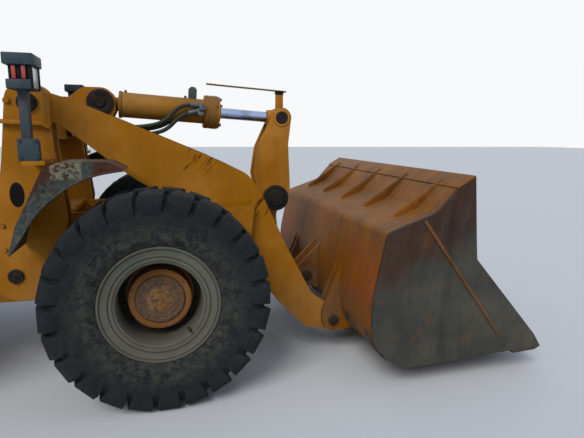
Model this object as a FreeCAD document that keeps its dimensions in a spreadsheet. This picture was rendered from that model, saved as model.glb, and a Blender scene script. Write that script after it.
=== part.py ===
"""Articulated wheel loader of the three-tonne class, in millimetres.

+X points forward, +Y to the driver's left and +Z up. The origin is on the ground,
under the middle of the machine's length. Lengths along X are written from the
front axle, which stands front_axle_x ahead of the origin.
"""
import FreeCAD, Part
import os
import re
import Sketcher
from FreeCAD import Placement, Rotation, Vector

os.makedirs("parts", exist_ok=True)
doc = FreeCAD.newDocument("wheel_loader")
sheet = doc.addObject("Spreadsheet::Sheet", "sizes")
size_names = []
nodes = []

AXIS_TURN = {
    "X": Rotation(Vector(0, 1, 0), 90),
    "Y": Rotation(Vector(1, 0, 0), -90),
    "Z": Rotation(),
}
PLANE_NORMAL = {"XZ": "y", "XY": "z", "YZ": "x"}


# Sizes and expressions

def size(name, value):
    """Adds one named size, a number or a formula that starts with an equals sign."""
    size_names.append(name)
    row = len(size_names)
    sheet.set("A%d" % row, name)
    sheet.set("B%d" % row, str(value))
    sheet.setAlias("B%d" % row, name)


def sizes(rows):
    """Adds a table of named sizes."""
    for name, value in rows:
        size(name, value)
    sheet.recompute()


def bound(expression):
    """The expression with each size's name led by the sheet's."""
    def lead(match):
        word = match.group()
        return "sizes." + word if word in size_names else word
    return re.sub(r"[A-Za-z_]\w*", lead, str(expression))


def worth(expression):
    """The expression's value now."""
    return float(sheet.evalExpression(bound(expression)))


def corners(prefix, origin, rows):
    """Names an outline's corners in the sheet and returns them as expressions.

    Each row is (corner, across, up, radius), measured from the origin's two sizes.
    """
    outline = []
    for corner, across, up, radius in rows:
        name = prefix + "_" + corner
        size(name + "_a", across)
        size(name + "_b", up)
        point = ["%s + %s_a" % (origin[0], name), "%s + %s_b" % (origin[1], name)]
        if radius:
            size(name + "_round", radius)
            point.append(name + "_round")
        outline.append(tuple(point))
    sheet.recompute()
    return outline


# Shapes that follow the sheet

def bind(thing, prop, expression):
    thing.setExpression(prop, bound(expression))


def seat(thing, x, y, z):
    """Binds a thing's place, with x measured from the front axle."""
    bind(thing, "Placement.Base.x", "front_axle_x + (%s)" % x)
    bind(thing, "Placement.Base.y", y)
    bind(thing, "Placement.Base.z", z)
    return thing


def block(x, y, z):
    """A box between the pairs of bounds x, y and z."""
    box = doc.addObject("Part::Box", "block")
    for prop, (low, high) in (("Length", x), ("Width", y), ("Height", z)):
        bind(box, prop, "(%s) - (%s)" % (high, low))
    return seat(box, x[0], y[0], z[0])


def bar(axis, radius, span, first, second):
    """A cylinder along an axis, over a span, at its other two coordinates in order."""
    low, high = span
    cylinder = doc.addObject("Part::Cylinder", "bar")
    cylinder.Placement = Placement(Vector(), AXIS_TURN[axis])
    bind(cylinder, "Radius", radius)
    bind(cylinder, "Height", "(%s) - (%s)" % (high, low))
    place = {"X": (low, first, second), "Y": (first, low, second), "Z": (first, second, low)}
    return seat(cylinder, *place[axis])


def strut(line, radius, begin, end, y):
    """A cylinder along a named line in the XZ plane, from one distance to another."""
    cylinder = doc.addObject("Part::Cylinder", "strut")
    cylinder.Placement = Placement(Vector(), Rotation(Vector(0, 1, 0), 90))
    bind(cylinder, "Placement.Rotation.Angle", "%s_turn" % line)
    bind(cylinder, "Radius", radius)
    bind(cylinder, "Height", "(%s) - (%s)" % (end, begin))
    along = "%s_x + %s_ux * (%s)" % (line, line, begin)
    above = "%s_z + %s_uz * (%s)" % (line, line, begin)
    return seat(cylinder, along, y, above)


def line_sizes(line, x0, z0, x1, z1):
    """Names a line's start, its direction, its length and its turn from upright."""
    sizes([
        (line + "_x", "=" + x0),
        (line + "_z", "=" + z0),
        (line + "_length", "=sqrt((%s - (%s))^2 + (%s - (%s))^2)" % (x1, x0, z1, z0)),
        (line + "_ux", "=((%s) - (%s)) / %s_length" % (x1, x0, line)),
        (line + "_uz", "=((%s) - (%s)) / %s_length" % (z1, z0, line)),
        (line + "_turn", "=atan2((%s) - (%s); (%s) - (%s)) / 1deg" % (x1, x0, z1, z0)),
    ])


def sketch_on(body, role, outline):
    """A closed sketch whose corners are bound to the sheet, rounded where they say."""
    sketch = body.newObject("Sketcher::SketchObject", "outline")
    plane = [f for f in body.Origin.OriginFeatures if f.Role == role + "_Plane"][0]
    sketch.AttachmentSupport = [(plane, "")]
    sketch.MapMode = "FlatFace"
    points = [Vector(worth(corner[0]), worth(corner[1]), 0) for corner in outline]
    count = len(points)
    for i in range(count):
        sketch.addGeometry(Part.LineSegment(points[i], points[(i + 1) % count]), False)
    for i in range(count):
        sketch.addConstraint(Sketcher.Constraint("Coincident", i, 2, (i + 1) % count, 1))
    for i in range(count):
        for part, kind in enumerate(("DistanceX", "DistanceY")):
            rule = Sketcher.Constraint(kind, -1, 1, i, 1, points[i][part])
            number = sketch.addConstraint(rule)
            sketch.setExpression("Constraints[%d]" % number, bound(outline[i][part]))
    for i, corner in enumerate(outline):
        if len(corner) > 2:
            sketch.fillet((i - 1) % count, 2, worth(corner[2]), True, True)
            arc = sketch.GeometryCount - 2
            number = sketch.addConstraint(Sketcher.Constraint("Radius", arc, worth(corner[2])))
            sketch.setExpression("Constraints[%d]" % number, bound(corner[2]))
    return sketch


def plate(plane, outline, low, high):
    """An outline on a plane, padded from low to high along the plane's normal."""
    body = doc.addObject("PartDesign::Body", "plate")
    sketch = sketch_on(body, plane, outline)
    pad = body.newObject("PartDesign::Pad", "pad")
    pad.Profile = sketch
    pad.Midplane = True
    bind(pad, "Length", "(%s) - (%s)" % (high, low))
    middle = "((%s) + (%s)) / 2" % (low, high)
    if plane == "YZ":
        bind(body, "Placement.Base.x", "front_axle_x + " + middle)
    else:
        bind(body, "Placement.Base.x", "front_axle_x")
        bind(body, "Placement.Base." + PLANE_NORMAL[plane], middle)
    return body


def turned(outline, x, z):
    """An outline of (across, radius) corners turned about a line along Y at x and z."""
    body = doc.addObject("PartDesign::Body", "turned")
    sketch = sketch_on(body, "YZ", outline)
    revolution = body.newObject("PartDesign::Revolution", "turn")
    revolution.Profile = sketch
    revolution.ReferenceAxis = (sketch, ["H_Axis"])
    revolution.Angle = 360
    return seat(body, x, "0", z)


def flat(things):
    """The things with each list among them opened."""
    opened = []
    for thing in things:
        opened += flat(thing) if isinstance(thing, list) else [thing]
    return opened


def fuse(*things):
    joined = doc.addObject("Part::MultiFuse", "joined")
    joined.Shapes = flat(things)
    return joined


def cut(thing, *tools):
    left = doc.addObject("Part::Cut", "left")
    left.Base = thing
    tools = flat(tools)
    left.Tool = tools[0] if len(tools) == 1 else fuse(*tools)
    return left


def mirrored(thing):
    """The same thing on the machine's other side."""
    image = doc.addObject("Part::Mirroring", "image")
    image.Source = thing
    image.Base = Vector(0, 0, 0)
    image.Normal = Vector(0, 1, 0)
    return image


def both(*things):
    """The things and their images on the machine's other side."""
    things = flat(things)
    return things + [mirrored(thing) for thing in things]


def group(*things):
    """Separate solids that share one node."""
    compound = doc.addObject("Part::Compound", "group")
    compound.Links = flat(things)
    return compound


def node(name, thing):
    """Gives a finished piece its name."""
    thing.Label = name
    nodes.append(thing)
    return thing


# Driving sizes: the stance, the axles and the tyres

sizes([
    ("wheelbase", 2750),
    ("rear_reach", 4340),
    ("hinge_x", 1248),
    ("hinge_z", 278),
    ("edge_a", 1362),
    ("bucket_reach", "=hinge_x + edge_a"),
    ("front_axle_x", "=(rear_reach - bucket_reach) / 2"),
    ("rear_axle_x", "=0 - wheelbase"),
    ("pivot_x", "=0 - wheelbase / 2"),
    ("tyre_radius", 670),
    ("axle_z", "=tyre_radius"),
    ("half_track", 925),
    ("tyre_width", 445),
    ("tyre_shoulder", 70),
    ("tread_drop", 22),
    ("rim_radius", 318),
    ("rim_wall", 12),
    ("flange_radius", 355.5),
    ("flange_wall", 14),
    ("rim_inset", 32),
    ("ring_radius", 250),
    ("ring_wall", 16),
    ("ring_inset", 48),
    ("disc_face", 860),
    ("disc_wall", 20),
    ("hub_radius", 188),
    ("hub_face", 988),
    ("hub_ring_radius", 145),
    ("hub_ring_step", 12),
    ("hub_gap", 0.5),
    ("axle_tube", 75),
    ("axle_tube_end", 645),
    ("axle_end_radius", 150),
    ("axle_end", "=disc_face - disc_wall - hub_gap"),
    ("bowl_radius", 215),
    ("bowl_half", 150),
    ("nose_radius", 85),
    ("nose_length", 420),
    ("shaft_radius", 45),
])


# Wheels: a steel rim with its disc and planet hub, and a wide tyre

def wheel(name, axle, side):
    """A rim node and a tyre node at one end of an axle; side is 1 or -1."""
    near = "%d * (half_track - tyre_width / 2)" % side
    far = "%d * (half_track + tyre_width / 2)" % side
    outside = "%d * (half_track + tyre_width / 2 - rim_inset)" % side
    inside = "%d * (half_track - tyre_width / 2 + rim_inset)" % side
    shoulder = "%d * tyre_shoulder" % side
    lip = "%d * flange_wall" % side
    tyre = turned([
        (inside + " + " + lip, "rim_radius"),
        (inside + " + " + lip, "flange_radius"),
        (near, "flange_radius + 60", "50"),
        (near, "tyre_radius - tyre_shoulder - tread_drop", "40"),
        (near + " + " + shoulder, "tyre_radius - tread_drop", "30"),
        ("%d * half_track" % side, "tyre_radius"),
        (far + " - " + shoulder, "tyre_radius - tread_drop", "30"),
        (far, "tyre_radius - tyre_shoulder - tread_drop", "40"),
        (far, "flange_radius + 60", "50"),
        (outside + " - " + lip, "flange_radius"),
        (outside + " - " + lip, "rim_radius"),
    ], axle, "axle_z")
    node("tyre_" + name, tyre)
    ring = "%d * (half_track + tyre_width / 2 - ring_inset)" % side
    ring_back = "%d * (half_track + tyre_width / 2 - ring_inset - ring_wall)" % side
    disc = "%d * disc_face" % side
    disc_back = "%d * (disc_face - disc_wall)" % side
    hub = "%d * hub_face" % side
    hub_step = "%d * (hub_face + hub_ring_step)" % side
    rim = turned([
        (inside, "rim_radius - rim_wall"),
        (inside, "flange_radius"),
        (inside + " + " + lip, "flange_radius"),
        (inside + " + " + lip, "rim_radius"),
        (outside + " - " + lip, "rim_radius"),
        (outside + " - " + lip, "flange_radius"),
        (outside, "flange_radius"),
        (outside, "rim_radius - rim_wall"),
        (ring, "rim_radius - rim_wall"),
        (ring, "ring_radius"),
        (ring_back, "ring_radius"),
        (ring_back, "rim_radius - rim_wall"),
        (disc, "rim_radius - rim_wall"),
        (disc, "hub_radius"),
        (hub, "hub_radius"),
        (hub, "hub_ring_radius"),
        (hub_step, "hub_ring_radius"),
        (hub_step, "0"),
        (disc_back, "0"),
        (disc_back, "rim_radius - rim_wall"),
    ], axle, "axle_z")
    node("rim_" + name, rim)


for wheel_name, wheel_axle, wheel_side in (
        ("front_left", "0", 1), ("front_right", "0", -1),
        ("rear_left", "rear_axle_x", 1), ("rear_right", "rear_axle_x", -1)):
    wheel(wheel_name, wheel_axle, wheel_side)


# Axles: a tube with the differential's bowl, and a pinion nose towards the pivot

def axle(x, nose):
    """One axle; nose is 1 where its pinion points forward and -1 where it points back."""
    near = "%s + %d * bowl_half * 0.6" % (x, nose)
    far = "%s + %d * nose_length" % (x, nose)
    span = (near, far) if nose > 0 else (far, near)
    tube = bar("Y", "axle_tube", ("0 - axle_tube_end", "axle_tube_end"), x, "axle_z")
    bowl = bar("Y", "bowl_radius", ("0 - bowl_half", "bowl_half"), x, "axle_z")
    stub = bar("X", "nose_radius", span, "0", "axle_z")
    left = bar("Y", "axle_end_radius", ("axle_tube_end - 1", "axle_end"), x, "axle_z")
    right = bar("Y", "axle_end_radius", ("0 - axle_end", "1 - axle_tube_end"), x, "axle_z")
    return [tube, bowl, stub, left, right]


sizes([
    ("frame_half", 365),
    ("frame_wall", 35),
    ("pad_half", 90),
    ("front_sill", 770),
    ("shaft_gap", 160),
])
front_pads = both(block(("0 - pad_half", "pad_half"), ("frame_half - 110", "frame_half"),
                        ("axle_z", "front_sill")))
front_shaft = bar("X", "shaft_radius", ("pivot_x + shaft_gap", "1 - nose_length"), "0", "axle_z")
node("front_axle", fuse(*axle("0", -1), front_pads, front_shaft))


# Front frame: two side plates, the loader towers and the articulation's two lugs

sizes([
    ("boom_pivot_x", -715),
    ("boom_pivot_z", 1837),
    ("boom_pin", 40),
    ("pin_fit", 0.05),
    ("lift_foot_x", -860),
    ("lift_foot_z", 780),
    ("lift_pin", 35),
    ("arm_middle", 575),
    ("arm_wall", 50),
    ("tower_gap", 36),
    ("tower_wall", 26),
    ("tower_inner", "=arm_middle - arm_wall / 2 - tower_gap"),
    ("tower_outer", "=arm_middle + arm_wall / 2 + tower_gap"),
    ("front_tail_x", -1130),
    ("front_nose_x", 345),
    ("front_top", 1120),
    ("front_low", 520),
    ("pivot_pin", 42),
    ("lug_radius", 105),
    ("lug_wall", 45),
    ("lug_low_z", 525),
    ("lug_high_z", 1010),
    ("clevis_gap", 6),
    ("clevis_wall", 32),
    ("steer_z", 800),
    ("post_x", -650),
    ("post_y", 870),
    ("post_foot", 1505),
])
front_side = plate("XZ", corners("side", ("0", "0"), [
    ("tail_low", -1130, 520, 40),
    ("tail_high", -1130, 1120, 40),
    ("nose_high", 345, 1120, 60),
    ("nose_low", 345, 770, 0),
    ("sill_back", -560, 770, 80),
    ("step_down", -760, 520, 80),
]), "frame_half - frame_wall", "frame_half")
tower_outline = corners("tower", ("0", "0"), [
    ("foot_back", -1010, 620, 150),
    ("foot_front", -620, 620, 150),
    ("waist_front", -540, 1130, 80),
    ("neck_front", -590, 1560, 120),
    ("crown_front", -600, 1952, 105),
    ("crown_back", -825, 1952, 105),
    ("neck_back", -880, 1500, 120),
    ("waist_back", -940, 1150, 60),
])
tower_in = plate("XZ", tower_outline, "tower_inner - tower_wall", "tower_inner")
tower_out = plate("XZ", tower_outline, "tower_outer", "tower_outer + tower_wall")
tower_back = block(("tower_foot_back_a + 2", "tower_foot_back_a + 27"),
                   ("tower_inner - 1", "tower_outer + 1"), ("820", "1080"))
tower_sole = block(("-880", "-720"), ("tower_inner - 1", "tower_outer + 1"),
                   ("tower_foot_back_b + 2", "tower_foot_back_b + 26"))
tower_shelf = block(("-930", "-580"), ("0 - tower_inner", "tower_inner"), ("1095", "1125"))
tower_foot = block(("-930", "-900"), ("frame_half - 1", "tower_inner - tower_wall + 1"),
                   ("700", "1110"))
beam = block(("-820", "-600"), ("0 - tower_inner", "tower_inner"), ("1620", "1750"))
front_cross = block(("front_nose_x - 40", "front_nose_x"),
                    ("0 - frame_half + 1", "frame_half - 1"), ("790", "1110"))
lamp_bracket = block(("post_x - 60", "post_x + 60"),
                     ("tower_outer + tower_wall - 1", "post_y + 60"),
                     ("post_foot - 24", "post_foot"))
lug_outline = [
    ("pivot_x - lug_radius", "0 - lug_radius", "lug_radius - 1"),
    ("pivot_x + 60", "0 - lug_radius"),
    ("front_tail_x + 5", "0 - frame_half"),
    ("front_tail_x + 260", "0 - frame_half"),
    ("front_tail_x + 260", "frame_half"),
    ("front_tail_x + 5", "frame_half"),
    ("pivot_x + 60", "lug_radius"),
    ("pivot_x - lug_radius", "lug_radius", "lug_radius - 1"),
]
lug_low = plate("XY", lug_outline, "lug_low_z", "lug_low_z + lug_wall")
lug_high = plate("XY", lug_outline, "lug_high_z", "lug_high_z + lug_wall")
pivot_bore = bar("Z", "pivot_pin + pin_fit", ("400", "1300"), "pivot_x", "0")

sizes([
    ("steer_foot_x", -1700),
    ("steer_foot_y", 280),
    ("steer_eye_x", -1100),
    ("steer_eye_y", 220),
    ("steer_eye", 38),
    ("steer_pin", 18),
    ("steer_half", 22),
    ("steer_ear_gap", 5),
    ("steer_ear_wall", 18),
    ("steer_barrel", 45),
    ("steer_rod", 24),
])


def steer_ears(tip, root, y):
    """Two flat ears above and below a steering cylinder's eye, round at the tip."""
    outline = [(tip, "%s - steer_eye" % y, "steer_eye - 1"), (root, "%s - steer_eye" % y),
               (root, "%s + steer_eye" % y), (tip, "%s + steer_eye" % y, "steer_eye - 1")]
    near = "steer_half + steer_ear_gap"
    far = "steer_half + steer_ear_gap + steer_ear_wall"
    high = plate("XY", outline, "steer_z + " + near, "steer_z + " + far)
    low = plate("XY", outline, "steer_z - (%s)" % far, "steer_z - (%s)" % near)
    return high, low


front_ears = both(*steer_ears("steer_eye_x - steer_eye", "-1020", "steer_eye_y"))
front_bulkhead = block(("-1030", "-1000"), ("0 - frame_half + 1", "frame_half - 1"),
                       ("745", "900"))

sizes([
    ("tilt_foot_x", -370),
    ("tilt_foot_z", 1880),
    ("tilt_pin", 36),
    ("tilt_lug_in", 62),
    ("tilt_lug_wall", 30),
])
tilt_lug = plate("XZ", corners("tiltlug", ("tilt_foot_x", "tilt_foot_z"), [
    ("back_low", -440, -270, 0),
    ("back_high", -440, -140, 30),
    ("top_back", -115, 105, 100),
    ("top_front", 105, 105, 100),
    ("front", 100, -90, 90),
    ("chin", -230, -270, 60),
]), "tilt_lug_in", "tilt_lug_in + tilt_lug_wall")
front_frame = cut(
    fuse(both(front_side, tower_in, tower_out, tower_back, tower_sole, tower_foot, tilt_lug,
              lamp_bracket),
         tower_shelf, beam, front_cross, lug_low, lug_high, front_ears, front_bulkhead),
    pivot_bore,
    bar("Y", "boom_pin + pin_fit", ("-800", "800"), "boom_pivot_x", "boom_pivot_z"),
    bar("Y", "lift_pin + pin_fit", ("-800", "800"), "lift_foot_x", "lift_foot_z"),
    bar("Y", "tilt_pin + pin_fit", ("-150", "150"), "tilt_foot_x", "tilt_foot_z"),
)
node("front_frame", front_frame)

boom_pin_span = ("tower_inner - tower_wall - 12", "tower_outer + tower_wall + 6")
boom_pin_cap = ("tower_outer + tower_wall + 0.3", "tower_outer + tower_wall + 16")
node("boom_pivot_pins", group(both(fuse(
    bar("Y", "boom_pin", boom_pin_span, "boom_pivot_x", "boom_pivot_z"),
    bar("Y", "boom_pin + 16", boom_pin_cap, "boom_pivot_x", "boom_pivot_z")))))


# Front mudguards and the lamp posts

sizes([
    ("guard_in", 668),
    ("guard_out", 1005),
    ("guard_wall", 8),
])
guard_rows = [
    ("tail", -796, 988, 0),
    ("lower", -750, 1150, 120),
    ("upper", -590, 1470, 90),
    ("top", -500, 1502, 60),
    ("front", -250, 1500, 60),
    ("toe", -165, 1455, 0),
]
guard_top = corners("guard", ("0", "0"), guard_rows)
guard_under = [
    ("guard_toe_a - 6", "guard_toe_b - guard_wall"),
    ("guard_front_a - 4", "guard_front_b - guard_wall", "50"),
    ("guard_top_a", "guard_top_b - guard_wall", "55"),
    ("guard_upper_a + guard_wall", "guard_upper_b - guard_wall", "80"),
    ("guard_lower_a + guard_wall", "guard_lower_b - 4", "110"),
    ("guard_tail_a + guard_wall", "guard_tail_b"),
]
skirt_under = corners("skirt", ("0", "0"), [
    ("toe", -215, 1448, 0),
    ("front", -330, 1428, 60),
    ("upper", -520, 1330, 60),
    ("lower", -665, 1190, 90),
    ("tail", -722, 1090, 0),
])
mudguard = fuse(
    plate("XZ", guard_top + guard_under, "guard_in", "guard_out"),
    plate("XZ", guard_top + skirt_under, "guard_out - guard_wall", "guard_out"),
    block(("-700", "-560"), ("tower_outer + tower_wall", "guard_in + 1"), ("1330", "1380")),
)
node("front_mudguards", group(both(mudguard)))

sizes([
    ("post_half", 26),
    ("post_top", 1890),
    ("lamp_back_x", -760),
    ("lamp_front_x", -590),
    ("lamp_half", 90),
    ("lamp_top", 2075),
    ("lamp_cap", 14),
])
lamp_post = fuse(
    block(("post_x - 54", "post_x + 54"), ("post_y - 54", "post_y + 54"),
          ("post_foot", "post_foot + 110")),
    block(("post_x - post_half", "post_x + post_half"),
          ("post_y - post_half", "post_y + post_half"), ("post_foot", "post_top")),
    block(("lamp_back_x", "lamp_front_x"), ("post_y - lamp_half", "post_y + lamp_half"),
          ("post_top - 1", "lamp_top")),
    block(("lamp_back_x - lamp_cap", "lamp_front_x + lamp_cap"),
          ("post_y - lamp_half - lamp_cap", "post_y + lamp_half + lamp_cap"),
          ("lamp_top - 22", "lamp_top")),
)
node("lamp_posts", group(both(lamp_post)))


# Boom: two arms, the cross tube between them and the bell crank's bracket

sizes([
    ("crank_x", 914),
    ("crank_z", 1159),
    ("crank_pin", 40),
    ("crank_cap", 100),
    ("crank_cap_out", 176),
    ("bracket_in", 104),
    ("bracket_wall", 30),
    ("bracket_round", 98),
    ("tube_x", 680),
    ("tube_z", 1060),
    ("tube_radius", 100),
    ("lift_eye_x", 520),
    ("lift_eye_z", 915),
    ("lift_eye", 60),
    ("lug_gap", 60),
    ("lug_plate", 20),
    ("eye_clear", 44),
    ("hinge_pin", 35),
    ("nose_round", 88),
    ("tail_round", 98),
])
arm_rows_back = corners("arm", ("boom_pivot_x", "boom_pivot_z"), [
    ("tail_high", 14, 94, 0),
    ("back_top", 250, 20, 200),
    ("mid_top", 1140, -355, 0),
    ("shoulder_top", 1330, -450, 160),
    ("shoulder", 1440, -620, 160),
    ("shin_top", 1600, -960, 0),
    ("shin_foot", 1800, -1345, 90),
])
arm_rows_nose = corners("nose", ("hinge_x", "hinge_z"), [
    ("high", 20, 82, 0),
    ("low", -20, -82, 0),
    ("chin", -210, -40, 60),
    ("shin", -455, 213, 200),
])
arm_rows_under = corners("under", ("boom_pivot_x", "boom_pivot_z"), [
    ("knee", 1330, -870, 120),
    ("eye", 1120, -790, 80),
    ("mid", 586, -474, 0),
    ("back", 150, -122, 0),
    ("tail_low", -40, -86, 0),
])
arm_plate = plate("XZ", arm_rows_back + arm_rows_nose + arm_rows_under,
                  "arm_middle - arm_wall / 2", "arm_middle + arm_wall / 2")
eye_lug_outline = corners("eyelug", ("lift_eye_x", "lift_eye_z"), [
    ("back", -85, -40, 40),
    ("low", -20, -85, 60),
    ("front", 90, -40, 40),
    ("high_front", 130, 260, 0),
    ("high_back", -120, 260, 0),
])
eye_lug_in = plate("XZ", eye_lug_outline, "arm_middle - lug_gap - lug_plate",
                   "arm_middle - lug_gap")
eye_lug_out = plate("XZ", eye_lug_outline, "arm_middle + lug_gap",
                    "arm_middle + lug_gap + lug_plate")
eye_room = bar("Y", "lift_eye + eye_clear", ("arm_middle - lug_gap", "arm_middle + lug_gap"),
               "lift_eye_x", "lift_eye_z")
eye_bridge = block(("lift_eye_x - 100", "lift_eye_x + 110"),
                   ("arm_middle - lug_gap - 1", "arm_middle + lug_gap + 1"),
                   ("lift_eye_z + 170", "lift_eye_z + 220"))
arm = cut(
    fuse(arm_plate, eye_lug_in, eye_lug_out, eye_bridge,
         bar("Y", "tail_round", ("arm_middle - arm_wall / 2", "arm_middle + arm_wall / 2"),
             "boom_pivot_x", "boom_pivot_z"),
         bar("Y", "nose_round", ("arm_middle - arm_wall / 2", "arm_middle + arm_wall / 2"),
             "hinge_x", "hinge_z"),
         bar("Y", "boom_pin + 40", ("tower_inner + 2", "tower_outer - 2"),
             "boom_pivot_x", "boom_pivot_z")),
    eye_room,
    bar("Y", "tube_radius + 0.3", ("400", "arm_middle - arm_wall / 2"), "tube_x", "tube_z"),
    bar("Y", "boom_pin + pin_fit", ("400", "800"), "boom_pivot_x", "boom_pivot_z"),
    bar("Y", "hinge_pin + pin_fit", ("400", "800"), "hinge_x", "hinge_z"),
)
node("boom_arm_left", arm)
node("boom_arm_right", mirrored(arm))

crank_bracket = plate("XZ", corners("bracket", ("crank_x", "crank_z"), [
    ("nose_high", 0, 98, 0),
    ("nose_low", 60, -78, 0),
    ("foot_front", -200, -190, 0),
    ("foot_back", -310, -100, 0),
    ("heel", -200, 20, 60),
]), "bracket_in", "bracket_in + bracket_wall")
cross_tube = cut(
    fuse(bar("Y", "tube_radius", ("arm_wall / 2 - arm_middle", "arm_middle - arm_wall / 2"),
             "tube_x", "tube_z"),
         both(crank_bracket,
              bar("Y", "bracket_round", ("bracket_in", "bracket_in + bracket_wall"),
                  "crank_x", "crank_z"))),
    bar("Y", "crank_pin + pin_fit", ("-200", "200"), "crank_x", "crank_z"),
)
node("boom_cross_tube", cross_tube)


# Bell crank: two cheeks on a hub, with its pin, and the link to the bucket

sizes([
    ("crank_in", 62),
    ("crank_wall", 28),
    ("crank_top_a", 64),
    ("crank_top_b", 631),
    ("crank_foot_a", 6),
    ("crank_foot_b", -739),
    ("crank_top_x", "=crank_x + crank_top_a"),
    ("crank_top_z", "=crank_z + crank_top_b"),
    ("crank_foot_x", "=crank_x + crank_foot_a"),
    ("crank_foot_z", "=crank_z + crank_foot_b"),
    ("crank_hub", 96),
    ("cheek_round", 80),
    ("link_eye", 70),
    ("link_half", 48),
    ("link_pin", 32),
    ("ear_x", 1200),
    ("ear_z", 480),
])
cheek = plate("XZ", corners("cheek", ("crank_x", "crank_z"), [
    ("top_back", -12, 654, 0),
    ("top_front", 140, 610, 0),
    ("neck_front", 118, 420, 0),
    ("waist_front", 136, 60, 60),
    ("arm_front", 16, -130, 120),
    ("arm_low", 62, -560, 200),
    ("foot_front", 84, -740, 0),
    ("foot_back", -70, -740, 0),
    ("heel", -88, -600, 120),
    ("waist_back", -118, -60, 90),
    ("step", -162, 190, 60),
    ("neck_back", -130, 400, 120),
]), "crank_in", "crank_in + crank_wall")
bell_crank = cut(
    fuse(both(cheek,
              bar("Y", "cheek_round", ("crank_in", "crank_in + crank_wall"),
                  "crank_top_x", "crank_top_z"),
              bar("Y", "cheek_round", ("crank_in", "crank_in + crank_wall"),
                  "crank_foot_x", "crank_foot_z")),
         bar("Y", "crank_hub", ("4 - bracket_in", "bracket_in - 4"), "crank_x", "crank_z"),
         block(("crank_x - 60", "crank_x + 60"), ("0 - crank_in - 1", "crank_in + 1"),
               ("crank_z + 160", "crank_z + 260")),
         ),
    bar("Y", "crank_pin + pin_fit", ("-200", "200"), "crank_x", "crank_z"),
)
node("bell_crank", bell_crank)
node("bell_crank_pin", fuse(
    bar("Y", "crank_pin", ("-155", "155"), "crank_x", "crank_z"),
    both(bar("Y", "crank_cap", ("bracket_in + bracket_wall + 0.3", "crank_cap_out"),
             "crank_x", "crank_z"))))

line_sizes("link", "ear_x", "ear_z", "crank_foot_x", "crank_foot_z")
link_arm = fuse(
    bar("Y", "link_eye", ("0 - link_half", "link_half"), "ear_x", "ear_z"),
    bar("Y", "link_eye", ("0 - link_half", "link_half"), "crank_foot_x", "crank_foot_z"),
    strut("link", "link_half", "link_eye * 0.5", "link_length - link_eye * 0.5", "0"),
    bar("Y", "link_pin", ("8 - crank_in", "crank_in - 8"), "crank_foot_x", "crank_foot_z"),
)
node("link", cut(link_arm, bar("Y", "link_pin + pin_fit", ("-100", "100"), "ear_x", "ear_z")))
sizes([
    ("ear_in", 60),
    ("ear_wall", 28),
])
node("link_pin", bar("Y", "link_pin", ("0 - ear_in - ear_wall - 14", "ear_in + ear_wall + 14"),
                     "ear_x", "ear_z"))


# Tilt cylinder: its foot pin, the barrel with its gland, and the chromed rod

line_sizes("tilt", "tilt_foot_x", "tilt_foot_z", "crank_top_x", "crank_top_z")
sizes([
    ("tilt_eye", 78),
    ("tilt_half", 55),
    ("tilt_barrel", 92),
    ("tilt_wall", 12),
    ("tilt_neck", 50),
    ("tilt_barrel_start", 122),
    ("tilt_gland_start", 742),
    ("tilt_gland_end", 858),
    ("tilt_gland", 122),
    ("tilt_rod", 41),
    ("tilt_rod_eye", 70),
    ("tilt_rod_tail", 420),
])
barrel = cut(
    fuse(bar("Y", "tilt_eye", ("0 - tilt_half", "tilt_half"), "tilt_foot_x", "tilt_foot_z"),
         strut("tilt", "tilt_neck", "tilt_eye * 0.6", "tilt_barrel_start + 1", "0"),
         strut("tilt", "tilt_barrel", "tilt_barrel_start", "tilt_gland_start + 1", "0"),
         strut("tilt", "tilt_gland", "tilt_gland_start", "tilt_gland_end", "0")),
    strut("tilt", "tilt_barrel - tilt_wall", "tilt_barrel_start + 40", "tilt_gland_start - 10", "0"),
    strut("tilt", "tilt_rod + pin_fit", "tilt_gland_start - 20", "tilt_gland_end + 10", "0"),
    bar("Y", "tilt_pin + pin_fit", ("-100", "100"), "tilt_foot_x", "tilt_foot_z"),
)
node("tilt_barrel", barrel)
node("tilt_cylinder_pin", bar(
    "Y", "tilt_pin", ("0 - tilt_lug_in - tilt_lug_wall - 12", "tilt_lug_in + tilt_lug_wall + 12"),
    "tilt_foot_x", "tilt_foot_z"))
rod = fuse(
    strut("tilt", "tilt_rod", "tilt_rod_tail", "tilt_length - tilt_rod_eye * 0.6", "0"),
    bar("Y", "tilt_rod_eye", ("0 - tilt_half + 3", "tilt_half - 3"), "crank_top_x", "crank_top_z"),
    bar("Y", "tilt_pin", ("5 - crank_in", "crank_in - 5"), "crank_top_x", "crank_top_z"),
)
node("tilt_rod", rod)


# Lift cylinders: one on each side, between the tower plates and under the arm

line_sizes("lift", "lift_foot_x", "lift_foot_z", "lift_eye_x", "lift_eye_z")
sizes([
    ("lift_barrel", 56),
    ("lift_bore", 46),
    ("lift_gland_end", 1257),
    ("lift_rod", 31),
    ("lift_rod_tail", 134),
    ("lift_bore_start", 74),
    ("lift_half", 52),
    ("lift_foot_eye", 66),
])
lift_barrel = cut(
    fuse(bar("Y", "lift_foot_eye", ("arm_middle - lift_half", "arm_middle + lift_half"),
             "lift_foot_x", "lift_foot_z"),
         strut("lift", "lift_barrel", "lift_foot_eye * 0.6", "lift_gland_end", "arm_middle")),
    strut("lift", "lift_bore", "lift_bore_start", "lift_gland_end - 60", "arm_middle"),
    strut("lift", "lift_rod + pin_fit", "lift_gland_end - 70", "lift_gland_end + 5", "arm_middle"),
)
lift_foot_pin = bar("Y", "lift_pin", ("tower_inner - tower_wall - 5", "tower_outer + tower_wall + 5"),
                    "lift_foot_x", "lift_foot_z")
node("lift_barrels", group(both(fuse(lift_barrel, lift_foot_pin))))
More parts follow.
